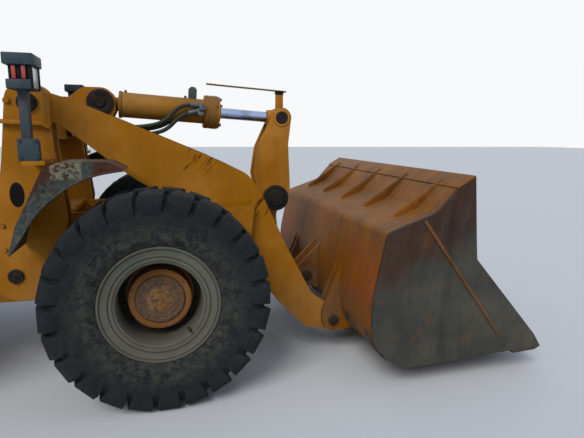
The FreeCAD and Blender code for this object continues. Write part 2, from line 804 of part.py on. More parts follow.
lift_rod = fuse(
    strut("lift", "lift_rod", "lift_rod_tail", "lift_length - lift_eye * 0.6", "arm_middle"),
    bar("Y", "lift_eye", ("arm_middle - lift_half", "arm_middle + lift_half"),
        "lift_eye_x", "lift_eye_z"),
)
node("lift_rods", group(both(lift_rod)))


# Bucket: a rolled shell with its ears, two end plates and the cutting edge

sizes([
    ("bucket_half", 1230),
    ("end_wall", 25),
    ("shell_wall", 20),
])
shell_rows = corners("shell", ("hinge_x", "hinge_z"), [
    ("heel", 45, -145, 318),
    ("belly", 49, 357, 500),
    ("back", 133, 783, 60),
    ("shelf", 470, 900, 90),
    ("seam", 603, 1046, 60),
    ("lip", 731, 1123, 0),
])
mouth_rows = corners("mouth", ("hinge_x", "hinge_z"), [
    ("brow", 771, 700, 0),
    ("kink", 785, 576, 0),
    ("jaw", 1298, 0, 60),
])
edge_tip = [("hinge_x + edge_a", "hinge_z - 97")]
hollow = plate("XZ", [
    ("hinge_x + edge_a + 200", "hinge_z - 97 + shell_wall"),
    ("hinge_x + shell_heel_a + shell_wall", "hinge_z + shell_heel_b + shell_wall",
     "shell_heel_round - shell_wall"),
    ("hinge_x + shell_belly_a + shell_wall", "hinge_z + shell_belly_b", "shell_belly_round"),
    ("hinge_x + shell_back_a + shell_wall", "hinge_z + shell_back_b - shell_wall * 0.6", "45"),
    ("hinge_x + shell_shelf_a + shell_wall * 0.5", "hinge_z + shell_shelf_b - shell_wall", "90"),
    ("hinge_x + shell_seam_a + shell_wall * 0.6", "hinge_z + shell_seam_b - shell_wall", "60"),
    ("hinge_x + shell_lip_a + 200", "hinge_z + shell_lip_b - shell_wall + 117"),
], "0 - bucket_half", "bucket_half")
outer = plate("XZ", edge_tip + shell_rows + mouth_rows,
              "0 - bucket_half + end_wall", "bucket_half - end_wall")


def hinge_ear(low, high):
    """One ear beside a boom nose, drawn from the pin to the shell."""
    return plate("XZ", [
        ("hinge_x - 85", "hinge_z - 85", "80"),
        ("hinge_x - 85", "hinge_z + 85", "80"),
        ("hinge_x + 60", "hinge_z + 420"),
        ("hinge_x + 110", "hinge_z + 420"),
        ("hinge_x + 330", "hinge_z - 100"),
        ("hinge_x + 160", "hinge_z - 75"),
    ], low, high)


link_ear = plate("XZ", [
    ("ear_x - 75", "ear_z - 75", "70"),
    ("ear_x - 75", "ear_z + 75", "70"),
    ("hinge_x + 80", "hinge_z + 480"),
    ("hinge_x + 140", "hinge_z + 480"),
    ("hinge_x + 200", "hinge_z + 60"),
    ("hinge_x + 60", "hinge_z + 80"),
], "ear_in", "ear_in + ear_wall")
sizes([
    ("ear_gap", 8),
    ("hinge_ear_wall", 28),
    ("ear_low", "=arm_middle - arm_wall / 2 - ear_gap - hinge_ear_wall"),
    ("ear_high", "=arm_middle + arm_wall / 2 + ear_gap"),
])
bucket_shell = cut(
    fuse(outer, both(hinge_ear("ear_low", "ear_low + hinge_ear_wall"),
                     hinge_ear("ear_high", "ear_high + hinge_ear_wall"), link_ear)),
    hollow,
    bar("Y", "hinge_pin + pin_fit", ("-800", "800"), "hinge_x", "hinge_z"),
    bar("Y", "link_pin + pin_fit", ("-150", "150"), "ear_x", "ear_z"),
)
node("bucket_shell", bucket_shell)
end_plate = plate("XZ", edge_tip + shell_rows + mouth_rows,
                  "bucket_half - end_wall", "bucket_half")
node("bucket_ends", group(both(end_plate)))
hinge_span = ("ear_low - 8", "ear_high + hinge_ear_wall + 8")
node("bucket_pins", group(both(bar("Y", "hinge_pin", hinge_span, "hinge_x", "hinge_z"))))


# Rear frame: two side rails, the clevises of the articulation, cross members

sizes([
    ("rail_half", 415),
    ("rail_wall", 32),
    ("rail_front_x", -1540),
    ("rail_rear_x", -4160),
    ("rail_top", 1090),
])
rail = plate("XZ", corners("rail", ("0", "0"), [
    ("front_low", -1540, 480, 60),
    ("front_high", -1540, 1090, 60),
    ("rear_high", -4160, 1090, 0),
    ("rear_low", -4160, 640, 0),
    ("back_low", -3200, 640, 80),
    ("arch_rear", -3100, 830, 80),
    ("arch_front", -2400, 830, 80),
    ("belly", -2250, 480, 80),
]), "rail_half - rail_wall", "rail_half")
clevis_outline = [
    ("pivot_x + lug_radius", "0 - lug_radius", "lug_radius - 1"),
    ("pivot_x - 60", "0 - lug_radius"),
    ("rail_front_x - 5", "0 - rail_half"),
    ("rail_front_x - 200", "0 - rail_half"),
    ("rail_front_x - 200", "rail_half"),
    ("rail_front_x - 5", "rail_half"),
    ("pivot_x - 60", "lug_radius"),
    ("pivot_x + lug_radius", "lug_radius", "lug_radius - 1"),
]


def clevis(lug):
    """The two plates of the clevis around one lug of the front frame."""
    over = "%s + lug_wall + clevis_gap" % lug
    under = "%s - clevis_gap" % lug
    return [plate("XY", clevis_outline, over, over + " + clevis_wall"),
            plate("XY", clevis_outline, under + " - clevis_wall", under)]


rear_ears = both(*steer_ears("steer_foot_x + steer_eye", "-1790", "steer_foot_y"))
sizes([
    ("hood_half", 500),
    ("hood_front_x", -2640),
    ("hood_base", 1110),
    ("engine_rear_x", -4000),
    ("engine_front_x", -3110),
    ("engine_base", 940),
    ("cab_half", 680),
    ("saddle_half", 130),
    ("saddle_wall", 40),
    ("saddle_reach", 300),
])


def saddle(x):
    """A cross plate that carries one end of the rear axle's rocking cradle."""
    return block((x, x + " + saddle_wall"), ("1 - rail_half", "rail_half - 1"), ("835", "1000"))


def hood_sill(x):
    """A foot on each rail that the hood stands on."""
    return both(block((x, x + " + 50"), ("rail_half - 40", "hood_half"),
                      ("rail_top - 1", "hood_base")))


def engine_beam(x):
    """A beam between the rails that carries the engine."""
    return block((x, x + " + 60"), ("1 - rail_half", "rail_half - 1"),
                 ("engine_base - 50", "engine_base"))


rear_frame = cut(
    fuse(both(rail), *clevis("lug_low_z"), *clevis("lug_high_z"), rear_ears,
         block(("-1815", "-1785"), ("1 - rail_half", "rail_half - 1"), ("735", "905")),
         block(("-2230", "-2200"), ("1 - rail_half", "rail_half - 1"), ("485", "560")),
         saddle("rear_axle_x + saddle_reach"),
         saddle("rear_axle_x - saddle_reach - saddle_wall"),
         block(("-4160", "-4120"), ("1 - rail_half", "rail_half - 1"), ("645", "1085")),
         hood_sill("hood_front_x - 60"), hood_sill("hood_front_x - 700"),
         engine_beam("engine_rear_x + 60"), engine_beam("engine_front_x - 120")),
    bar("Z", "pivot_pin + pin_fit", ("400", "1300"), "pivot_x", "0"),
    both(bar("Z", "steer_pin + pin_fit", ("steer_z - 100", "steer_z + 100"),
             "steer_foot_x", "steer_foot_y")),
)
node("rear_frame", rear_frame)


def articulation_pin(lug):
    """A pin through one lug and its clevis, with a round head on top."""
    low = "%s - clevis_gap - clevis_wall - 15" % lug
    high = "%s + lug_wall + clevis_gap + clevis_wall" % lug
    return fuse(bar("Z", "pivot_pin", (low, high + " + 14"), "pivot_x", "0"),
                bar("Z", "pivot_pin + 22", (high + " + 0.3", high + " + 15"), "pivot_x", "0"))


node("articulation_pins", group(articulation_pin("lug_low_z"), articulation_pin("lug_high_z")))

rear_pads = block(("rear_axle_x - saddle_reach", "rear_axle_x + saddle_reach"),
                  ("0 - saddle_half", "saddle_half"), ("axle_z + 120", "axle_z + 250"))
node("rear_axle", fuse(*axle("rear_axle_x", 1), rear_pads))


# Steering cylinders: a barrel pinned to the rear frame and a rod to the front one

sizes([
    ("steer_length", "=sqrt((steer_eye_x - steer_foot_x)^2 + (steer_eye_y - steer_foot_y)^2)"),
    ("steer_ux", "=(steer_eye_x - steer_foot_x) / steer_length"),
    ("steer_uy", "=(steer_eye_y - steer_foot_y) / steer_length"),
    ("steer_barrel_start", 56),
    ("steer_barrel_end", 378),
    ("steer_rod_tail", 222),
    ("steer_bore_start", 66),
])


def level_strut(radius, begin, end):
    """A cylinder along the left steering cylinder's line."""
    cylinder = doc.addObject("Part::Cylinder", "level")
    direction = Vector(worth("steer_ux"), worth("steer_uy"), 0)
    cylinder.Placement = Placement(Vector(), Rotation(Vector(0, 0, 1), direction))
    bind(cylinder, "Radius", radius)
    bind(cylinder, "Height", "(%s) - (%s)" % (end, begin))
    return seat(cylinder, "steer_foot_x + steer_ux * (%s)" % begin,
                "steer_foot_y + steer_uy * (%s)" % begin, "steer_z")


eye_span = ("steer_z - steer_half", "steer_z + steer_half")
pin_span = ("steer_z - steer_half - steer_ear_gap - steer_ear_wall - 6",
            "steer_z + steer_half + steer_ear_gap + steer_ear_wall + 6")
steer_barrel = cut(
    fuse(bar("Z", "steer_eye", eye_span, "steer_foot_x", "steer_foot_y"),
         level_strut("steer_half", "steer_eye * 0.5", "steer_barrel_start + 1"),
         level_strut("steer_barrel", "steer_barrel_start", "steer_barrel_end"),
         bar("Z", "steer_pin", pin_span, "steer_foot_x", "steer_foot_y")),
    level_strut("steer_barrel - 9", "steer_bore_start", "steer_barrel_end - 30"),
    level_strut("steer_rod + pin_fit", "steer_barrel_end - 40", "steer_barrel_end + 5"),
)
steer_rod = fuse(
    level_strut("steer_rod", "steer_rod_tail", "steer_length - steer_eye * 0.7"),
    bar("Z", "steer_eye", eye_span, "steer_eye_x", "steer_eye_y"),
)
node("steering_barrel_left", steer_barrel)
node("steering_barrel_right", mirrored(steer_barrel))
node("steering_rod_left", steer_rod)
node("steering_rod_right", mirrored(steer_rod))


# Power train: the engine and the transmission as plain blocks

sizes([
    ("engine_half", 300),
])
node("engine", block(("engine_rear_x", "engine_front_x"), ("0 - engine_half", "engine_half"),
                     ("engine_base", "1560")))
node("transmission", fuse(
    block(("-2310", "-1900"), ("-330", "330"), ("560", "1180")),
    bar("X", "shaft_radius", ("-1905", "pivot_x - shaft_gap"), "0", "axle_z"),
))


# Body: counterweight, hood with its doors and grille, tanks, fenders, steps

sizes([
    ("hood_wall", 25),
    ("hood_rear_x", -4200),
    ("hood_top", 1960),
    ("sill_top", 1450),
    ("door_head", 1800),
])
weight = plate("XY", [
    ("-4340", "-900", "140"),
    ("-4340", "900", "140"),
    ("-4230", "1130", "60"),
    ("-3960", "1130", "40"),
    ("-3960", "rail_half"),
    ("rail_rear_x", "rail_half"),
    ("rail_rear_x", "0 - rail_half"),
    ("-3960", "0 - rail_half"),
    ("-3960", "-1130", "40"),
    ("-4230", "-1130", "60"),
], "560", "hood_base")
sizes([
    ("hitch_slot", 40),
    ("hitch_pin", 20),
    ("hitch_x", -4270),
])
weight = cut(weight,
             block(("-4360", "-4200"), ("-130", "130"), ("700 - hitch_slot", "700 + hitch_slot")),
             bar("Z", "hitch_pin", ("540", "1140"), "hitch_x", "0"))
node("counterweight", weight)

sizes([
    ("door_gap", 6),
    ("grille_rim", 12),
    ("grille_wall", 30),
    ("knuckle", 13),
    ("knuckle_pin", 7),
])
hood_case = cut(
    plate("YZ", [
        ("0 - hood_half", "hood_base"),
        ("0 - hood_half", "hood_top", "120"),
        ("hood_half", "hood_top", "120"),
        ("hood_half", "hood_base"),
    ], "hood_rear_x", "hood_front_x"),
    plate("YZ", [
        ("hood_wall - hood_half", "hood_base - 10"),
        ("hood_wall - hood_half", "hood_top - hood_wall", "100"),
        ("hood_half - hood_wall", "hood_top - hood_wall", "100"),
        ("hood_half - hood_wall", "hood_base - 10"),
    ], "hood_rear_x - 10", "hood_front_x - hood_wall"),
    block(("hood_rear_x + 120", "hood_front_x - 200"), ("-600", "600"), ("sill_top", "door_head")),
)
KNUCKLE_PLACES = ("hood_rear_x + 260", "hood_front_x - 400")


def hood_knuckle(x):
    """The fixed half of a hinge above a hood door, with the pin that the door turns on."""
    return [block((x + " + 60.3", x + " + 110"), ("hood_half - 1", "hood_half + 8"),
                  ("door_head", "door_head + 50")),
            bar("X", "knuckle", (x + " + 60.3", x + " + 110"), "hood_half + knuckle", "door_head"),
            bar("X", "knuckle_pin", (x + " - 4", x + " + 61"), "hood_half + knuckle", "door_head")]


hood_shell = fuse(hood_case, both(*[hood_knuckle(x) for x in KNUCKLE_PLACES]))
node("hood", hood_shell)
hood_door = cut(
    fuse(block(("hood_rear_x + 120 + door_gap", "hood_front_x - 200 - door_gap"),
               ("hood_half - hood_wall", "hood_half"),
               ("sill_top + door_gap", "door_head - door_gap")),
         [block((x, x + " + 60"), ("hood_half - 1", "hood_half + 8"),
                ("door_head - 50", "door_head - 4")) for x in KNUCKLE_PLACES],
         [bar("X", "knuckle", (x, x + " + 60"), "hood_half + knuckle", "door_head")
          for x in KNUCKLE_PLACES]),
    [bar("X", "knuckle_pin + pin_fit", (x + " - 1", x + " + 61"), "hood_half + knuckle", "door_head")
     for x in KNUCKLE_PLACES])
node("hood_door_left", hood_door)
node("hood_door_right", mirrored(hood_door))
node("radiator_grille", plate("YZ", [
    ("grille_rim - hood_half", "hood_base + grille_rim"),
    ("grille_rim - hood_half", "hood_top - grille_rim", "120 - grille_rim"),
    ("hood_half - grille_rim", "hood_top - grille_rim", "120 - grille_rim"),
    ("hood_half - grille_rim", "hood_base + grille_rim"),
], "hood_rear_x - grille_wall", "hood_rear_x"))

sizes([
    ("tank_in", 470),
    ("tank_out", 745),
])
node("tanks", group(both(block(("-2070", "-1620"), ("rail_half", "tank_out"), ("600", "1240")))))

ladder = fuse(
    block(("-2030", "-2000"), ("760", "1100"), ("420", "1372")),
    block(("-1640", "-1610"), ("760", "1100"), ("420", "1372")),
    block(("-2001", "-1639"), ("850", "1100"), ("420", "445")),
    block(("-2001", "-1639"), ("820", "1060"), ("730", "755")),
    block(("-2001", "-1639"), ("790", "1020"), ("1040", "1065")),
)
node("ladders", group(both(ladder)))

fender_top = corners("fender", ("rear_axle_x", "0"), [
    ("front_low", 655, 1050, 0),
    ("front", 640, 1320, 60),
    ("front_top", 500, 1400, 80),
    ("rear_top", -520, 1400, 120),
    ("rear_low", -790, 1150, 0),
])
fender_under = [
    ("rear_axle_x + fender_rear_low_a + 7", "fender_rear_low_b - 7"),
    ("rear_axle_x + fender_rear_top_a + 4", "fender_rear_top_b - 10", "112"),
    ("rear_axle_x + fender_front_top_a - 3", "fender_front_top_b - 10", "72"),
    ("rear_axle_x + fender_front_a - 10", "fender_front_b - 5", "52"),
    ("rear_axle_x + fender_front_low_a - 10", "fender_front_low_b"),
]
fender = fuse(
    plate("XZ", fender_top + fender_under, "cab_half", "1150"),
    block(("rear_axle_x + fender_rear_top_a", "hood_front_x"), ("hood_half", "cab_half + 1"),
          ("fender_rear_top_b - 10", "fender_rear_top_b")),
)
node("rear_fenders", group(both(fender)))


# Cab: floor, frame, roof, windows and two doors, with the seat and the controls

sizes([
    ("cab_front_x", -1400),
    ("cab_rear_x", -2620),
    ("cab_floor_z", 1400),
    ("cab_eaves", 3035),
    ("cab_roof_z", 3170),
    ("post", 65),
    ("door_rear_x", -2390),
    ("waist_z", 1980),
    ("cowl_z", 1760),
])
deck = fuse(
    block(("cab_rear_x", "cab_front_x"), ("0 - cab_half", "cab_half"),
          ("cab_floor_z - 60", "cab_floor_z")),
    both(block(("-2100", "-1590"), ("cab_half - 1", "1130"), ("cab_floor_z - 28", "cab_floor_z"))),
    both(block(("-2500", "-2400"), ("rail_half - 70", "rail_half"), ("rail_top", "cab_floor_z - 59"))),
    both(block(("-1880", "-1780"), ("rail_half - 70", "rail_half"), ("rail_top", "cab_floor_z - 59"))),
)
node("cab_floor", deck)


def post_at(x):
    """A corner post of the cab that reaches back from x, with its image."""
    return both(block((x + " - post", x), ("cab_half - post", "cab_half"),
                      ("cab_floor_z", "cab_eaves")))


CAB_KNUCKLE_PLACES = ("cab_floor_z + 200", "cab_eaves - 400")


def cab_knuckle(z):
    """The fixed half of a cab door's hinge, with the pin that the door turns on."""
    return [block(("door_rear_x - 50", "door_rear_x"), ("cab_half - 1", "cab_half + 8"),
                  (z + " + 50.3", z + " + 100")),
            bar("Z", "knuckle", (z + " + 50.3", z + " + 100"), "door_rear_x", "cab_half + knuckle"),
            bar("Z", "knuckle_pin", (z + " - 4", z + " + 51"), "door_rear_x", "cab_half + knuckle")]


post_middle = "(cab_half - post / 2)"
cab_wide = ("0 - " + post_middle, post_middle)
cab_frame = fuse(
    post_at("cab_front_x"),
    post_at("door_rear_x"),
    post_at("cab_rear_x + post"),
    both(block(("cab_rear_x + post / 2", "cab_front_x - post / 2"),
               ("cab_half - post + 2", "cab_half - 2"),
               ("cab_eaves - post", "cab_eaves - 2"))),
    both(block(("cab_rear_x + post / 2", "cab_front_x - post / 2"),
               ("cab_half - post + 2", "cab_half - 2"),
               ("cab_floor_z", "cab_floor_z + 30"))),
    block(("cab_front_x - post + 2", "cab_front_x - 2"), cab_wide,
          ("cab_eaves - post + 3", "cab_eaves - 3")),
    block(("cab_rear_x + 2", "cab_rear_x + post - 2"), cab_wide,
          ("cab_eaves - post + 3", "cab_eaves - 3")),
    block(("cab_front_x - 34", "cab_front_x - 4"), cab_wide,
          ("cab_floor_z", "cowl_z")),
    block(("cab_rear_x + 4", "cab_rear_x + 34"), cab_wide,
          ("cab_floor_z", "waist_z")),
    both(block(("cab_rear_x + post / 2", "door_rear_x - post / 2"),
               ("cab_half - 34", "cab_half - 4"), ("cab_floor_z", "waist_z"))),
    both(*[cab_knuckle(z) for z in CAB_KNUCKLE_PLACES]),
)
node("cab_frame", cab_frame)
node("cab_roof", block(("cab_rear_x - 40", "cab_front_x + 90"),
                       ("0 - cab_half - 40", "cab_half + 40"), ("cab_eaves", "cab_roof_z")))

sizes([
    ("glass", 6),
    ("glass_fit", 0.3),
])
windows = group(
    block(("cab_front_x - 30", "cab_front_x - 30 + glass"),
          ("post - cab_half + glass_fit", "cab_half - post - glass_fit"),
          ("cowl_z + glass_fit", "cab_eaves - post - glass_fit")),
    block(("cab_rear_x + 20", "cab_rear_x + 20 + glass"),
          ("post - cab_half + glass_fit", "cab_half - post - glass_fit"),
          ("waist_z + glass_fit", "cab_eaves - post - glass_fit")),
    both(block(("cab_rear_x + post + glass_fit", "door_rear_x - post - glass_fit"),
               ("cab_half - 30", "cab_half - 30 + glass"),
               ("waist_z + glass_fit", "cab_eaves - post - glass_fit"))),
)
node("cab_windows", windows)

sizes([
    ("leaf_gap", 6),
    ("leaf_wall", 28),
    ("leaf_rim", 70),
])
leaf_x = ("door_rear_x + leaf_gap", "cab_front_x - post - leaf_gap")
leaf_z = ("cab_floor_z + 30 + leaf_gap", "cab_eaves - post - leaf_gap")
pane_x = ("door_rear_x + leaf_gap + leaf_rim", "cab_front_x - post - leaf_gap - leaf_rim")
pane_z = ("cab_floor_z + 330", "cab_eaves - post - leaf_gap - leaf_rim")
leaf = cut(
    fuse(block(leaf_x, ("cab_half - leaf_wall", "cab_half"), leaf_z),
         [block(("door_rear_x + 3", "door_rear_x + 60"), ("cab_half - 1", "cab_half + 8"),
                (z, z + " + 50")) for z in CAB_KNUCKLE_PLACES],
         [bar("Z", "knuckle", (z, z + " + 50"), "door_rear_x", "cab_half + knuckle")
          for z in CAB_KNUCKLE_PLACES]),
    block(pane_x, ("cab_half - 100", "cab_half + 10"), pane_z),
    [bar("Z", "knuckle_pin + pin_fit", (z + " - 1", z + " + 51"), "door_rear_x", "cab_half + knuckle")
     for z in CAB_KNUCKLE_PLACES],
)
pane = block(("%s + glass_fit" % pane_x[0], "%s - glass_fit" % pane_x[1]),
             ("cab_half - leaf_wall + 8", "cab_half - leaf_wall + 8 + glass"),
             ("%s + glass_fit" % pane_z[0], "%s - glass_fit" % pane_z[1]))
node("door_left", leaf)
node("door_right", mirrored(leaf))
node("door_glass_left", pane)
node("door_glass_right", mirrored(pane))

node("seat", fuse(
    block(("-2280", "-2120"), ("-140", "140"), ("cab_floor_z", "1640")),
    block(("-2330", "-1960"), ("-230", "230"), ("1639", "1760")),
    block(("-2420", "-2320"), ("-220", "220"), ("1700", "2350")),
))
node("steering_column", fuse(
    block(("-1560", "cab_front_x - 34"), ("-200", "200"), ("cab_floor_z", "cowl_z - 40")),
    bar("Z", "25", ("1400", "2060"), "-1640", "0"),
    block(("-1650", "-1550"), ("-20", "20"), ("1650", "1690")),
    bar("Z", "190", ("2055", "2085"), "-1660", "0"),
))

sizes([
    ("grab_rod", 12),
    ("grab_foot", 9),
    ("grab_off", 60),
    ("grab_low", 1520),
    ("grab_high", 2230),
])


def grab_bar(x):
    """An upright rail on two stand-offs from a post of the cab."""
    away = "cab_half + grab_off"
    feet = [bar("Y", "grab_foot", ("cab_half", away), x, z) for z in ("grab_low", "grab_high")]
    return fuse(bar("Z", "grab_rod", ("grab_low - 40", "grab_high + 40"), x, away), feet)


node("handrails", group(both(grab_bar("cab_front_x - post / 2"), grab_bar("door_rear_x - post / 2 - 8"))))
stacks = group(
    bar("Z", "48", ("hood_top", "2720"), "-3060", "210"),
    fuse(bar("Z", "60", ("hood_top", "2250"), "-3060", "-210"),
         bar("Z", "125", ("2200", "2360"), "-3060", "-210")),
)
node("hood_stacks", stacks)


doc.recompute()

faults = ["%s (%s)" % (thing.Label, thing.Name) for thing in doc.Objects
          if "Invalid" in thing.State or "Error" in thing.State]
if faults:
    raise SystemExit("not made: " + ", ".join(faults))
for thing in nodes:
    if thing.Shape.isNull() or not thing.Shape.isValid():
        raise SystemExit("%s has no valid shape" % thing.Label)
    if not thing.Shape.Solids:
        raise SystemExit("%s has no solid" % thing.Label)
for thing in nodes:
    thing.Shape.exportStep(os.path.join("parts", thing.Label + ".step"))
    print("%-24s %2d solids %10.1f cm3" % (thing.Label, len(thing.Shape.Solids),
                                          thing.Shape.Volume / 1000))
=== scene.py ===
"""The looks of an articulated wheel loader with a Z-bar linkage, worn and rusty.

Lengths are in metres: +X forwards, +Y to the driver's left, +Z up. Places along the
machine are given ahead of its front axle.
"""
import bpy
import math
from mathutils import Matrix, Vector


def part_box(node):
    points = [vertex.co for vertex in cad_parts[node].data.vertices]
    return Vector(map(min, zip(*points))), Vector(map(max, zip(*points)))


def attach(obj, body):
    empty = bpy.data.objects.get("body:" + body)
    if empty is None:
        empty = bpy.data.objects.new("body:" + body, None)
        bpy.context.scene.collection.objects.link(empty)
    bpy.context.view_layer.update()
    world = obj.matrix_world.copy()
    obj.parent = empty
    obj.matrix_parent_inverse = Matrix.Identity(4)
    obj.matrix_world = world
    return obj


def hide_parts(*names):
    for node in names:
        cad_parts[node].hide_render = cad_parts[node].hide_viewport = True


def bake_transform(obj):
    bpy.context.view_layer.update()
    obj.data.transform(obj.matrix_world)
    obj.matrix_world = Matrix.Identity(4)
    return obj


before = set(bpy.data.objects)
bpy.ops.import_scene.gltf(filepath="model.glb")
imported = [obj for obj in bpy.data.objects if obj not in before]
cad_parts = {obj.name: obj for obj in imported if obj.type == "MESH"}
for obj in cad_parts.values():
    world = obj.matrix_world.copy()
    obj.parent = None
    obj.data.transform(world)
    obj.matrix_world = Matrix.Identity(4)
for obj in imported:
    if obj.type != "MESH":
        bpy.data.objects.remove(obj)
bpy.ops.object.select_all(action="DESELECT")
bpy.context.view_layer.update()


# Camera: a hand-held view at eye level, a little down, from beside the front wheel

rim_low, rim_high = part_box("rim_front_left")
front_axle = (rim_low.x + rim_high.x) / 2


def fore(x):
    """A place along the machine, from its distance ahead of the front axle."""
    return front_axle + x


def at(x, y, z):
    """A place given by its distance ahead of the front axle, its side and its height."""
    return Vector((fore(x), y, z))


focal_pixels = 478.83
picture_width = 584
camera_yaw = math.radians(15.23)
camera_pitch = math.radians(-10.01)
camera_roll = math.radians(0.41)

bpy.ops.object.camera_add(location=(fore(0.038), -3.877, 1.66))
camera = bpy.context.object
camera.name = "camera"
camera.data.sensor_width = 36
camera.data.lens = focal_pixels / picture_width * camera.data.sensor_width
camera.data.clip_end = 200
look = (Matrix.Rotation(-camera_yaw, 4, "Z") @ Matrix.Rotation(math.pi / 2 + camera_pitch, 4, "X")
        @ Matrix.Rotation(camera_roll, 4, "Z"))
camera.rotation_euler = look.to_euler()
bpy.context.scene.camera = camera


# Floor and light: a pale floor under an even sky, with a broad soft lamp from the left

def put(tree, kind, inputs=None, **settings):
    """Adds a shader node; inputs maps its sockets to values or to other nodes' outputs."""
    made = tree.nodes.new("ShaderNode" + kind)
    for setting, value in settings.items():
        setattr(made, setting, value)
    for socket, value in (inputs or {}).items():
        if isinstance(value, bpy.types.NodeSocket):
            tree.links.new(value, made.inputs[socket])
        else:
            made.inputs[socket].default_value = value
    return made


def blank_material(name):
    """A node material with only its output, its tree and the output's socket."""
    material = bpy.data.materials.new(name)
    material.use_nodes = True
    tree = material.node_tree
    tree.nodes.clear()
    return material, tree, put(tree, "OutputMaterial").inputs["Surface"]


def shaded(surface, inputs):
    """Makes a principled shader with these inputs the finish of a material."""
    tree = surface.id_data
    tree.links.new(put(tree, "BsdfPrincipled", inputs).outputs[0], surface)


bpy.ops.mesh.primitive_plane_add(size=120, location=(0, 0, 0))
floor = bpy.context.object
floor.name = "floor"
floor_material, _, floor_surface = blank_material("pale_floor")
shaded(floor_surface, {"Base Color": (0.56, 0.58, 0.61, 1), "Roughness": 0.9, "Specular IOR Level": 0.1})
floor.data.materials.append(floor_material)

world = bpy.data.worlds.new("even_sky")
bpy.context.scene.world = world
world.use_nodes = True
sky_tree = world.node_tree
sky_tree.nodes.clear()
rays = put(sky_tree, "LightPath").outputs
seen = put(sky_tree, "Math", {0: rays["Is Camera Ray"], 1: rays["Is Glossy Ray"]}, operation="MAXIMUM")
seen = put(sky_tree, "Math", {0: seen.outputs[0], 1: rays["Is Transmission Ray"]}, operation="MAXIMUM")
dim_sky = put(sky_tree, "Background", {"Color": (0.78, 0.87, 1.0, 1), "Strength": 0.6})
bright_sky = put(sky_tree, "Background", {"Color": (0.93, 0.945, 0.96, 1), "Strength": 1.0})
sky = put(sky_tree, "MixShader", {0: seen.outputs[0], 1: dim_sky.outputs[0], 2: bright_sky.outputs[0]})
put(sky_tree, "OutputWorld", {"Surface": sky.outputs[0]})

bpy.ops.object.light_add(type="SUN", rotation=(math.radians(48), 0, math.radians(-38)))
lamp = bpy.context.object
lamp.name = "soft_lamp"
lamp.data.energy = 2.0
lamp.data.angle = math.radians(30)
lamp.data.color = (1.0, 0.97, 0.92)
bpy.context.scene.view_settings.view_transform = "Standard"


# Paint: ochre enamel on steel plate, faded, streaked and dusty, chipped to rust along
# its edges. The same weathering is laid over every painted, cast or bare steel piece.

def mixed(factor, first, second):
    """Two colours mixed by a factor."""
    return put(factor.id_data, "Mix", {0: factor, 6: first, 7: second}, data_type="RGBA").outputs[2]


def sums(operation, first, second=0.0, clamp=True):
    """One step of arithmetic, held between 0 and 1 unless clamp is off."""
    tree = next(value for value in (first, second) if isinstance(value, bpy.types.NodeSocket)).id_data
    return put(tree, "Math", {0: first, 1: second}, operation=operation, use_clamp=clamp).outputs[0]


def times(first, second):
    """A product held between 0 and 1."""
    return sums("MULTIPLY", first, second)


def less(first, second):
    """A difference held between 0 and 1."""
    return sums("SUBTRACT", first, second)


def place_in(tree):
    """The place on the object that is being shaded."""
    return put(tree, "TexCoord").outputs["Object"]


def part_of(point, axis):
    """One coordinate of a point."""
    return put(point.id_data, "SeparateXYZ", {0: point}).outputs[axis]


def grain(point, scale, detail=4.0, rough=0.6):
    """Cloudy noise over the surface."""
    return put(point.id_data, "TexNoise", {"Vector": point, "Scale": scale, "Detail": detail,
                                           "Roughness": rough}).outputs["Fac"]


def step(value, low, high):
    """0 below low, 1 above high, smooth in between."""
    return put(value.id_data, "MapRange", {"Value": value, "From Min": low, "From Max": high},
               interpolation_type="SMOOTHSTEP").outputs["Result"]


def stretched(point, scale, turn=(0, 0, 0)):
    """The point turned back and then scaled, which draws noise out into streaks."""
    return put(point.id_data, "Mapping", {"Vector": point, "Rotation": turn,
                                          "Scale": [1 / part for part in scale]}, vector_type="TEXTURE").outputs[0]


def shade_of(tree, colour, value, saturation=1.0):
    """A colour made darker or paler."""
    return put(tree, "HueSaturation", {"Value": value, "Saturation": saturation,
                                       "Color": colour}).outputs[0]


def effect(name, inputs, outputs):
    """A node group with named inputs and outputs; returns its tree and both ends' sockets."""
    tree = bpy.data.node_groups.new(name, "ShaderNodeTree")
    for label, kind, value in inputs:
        socket = tree.interface.new_socket(label, in_out="INPUT", socket_type="NodeSocket" + kind)
        socket.default_value = value
    for label, kind in outputs:
        tree.interface.new_socket(label, in_out="OUTPUT", socket_type="NodeSocket" + kind)
    start = tree.nodes.new("NodeGroupInput").outputs
    end = tree.nodes.new("NodeGroupOutput").inputs
    return tree, start, end


edge_wear, wear_in, wear_out = effect(
    "edge_wear", [("Reach", "Float", 0.01), ("Amount", "Float", 0.5)], [("Mask", "Float")])
rounded = put(edge_wear, "Bevel", {"Radius": wear_in["Reach"]}, samples=4)
true_face = put(edge_wear, "NewGeometry")
facing = put(edge_wear, "VectorMath", {0: rounded.outputs[0], 1: true_face.outputs["Normal"]},
             operation="DOT_PRODUCT").outputs["Value"]
sharp = step(less(1.0, facing), 0.02, 0.22)
wear_point = place_in(edge_wear)
ragged = step(grain(wear_point, 9, 7, 0.7), 0.44, 0.6)
worn = times(times(sharp, ragged), wear_in["Amount"])
edge_wear.links.new(worn, wear_out["Mask"])

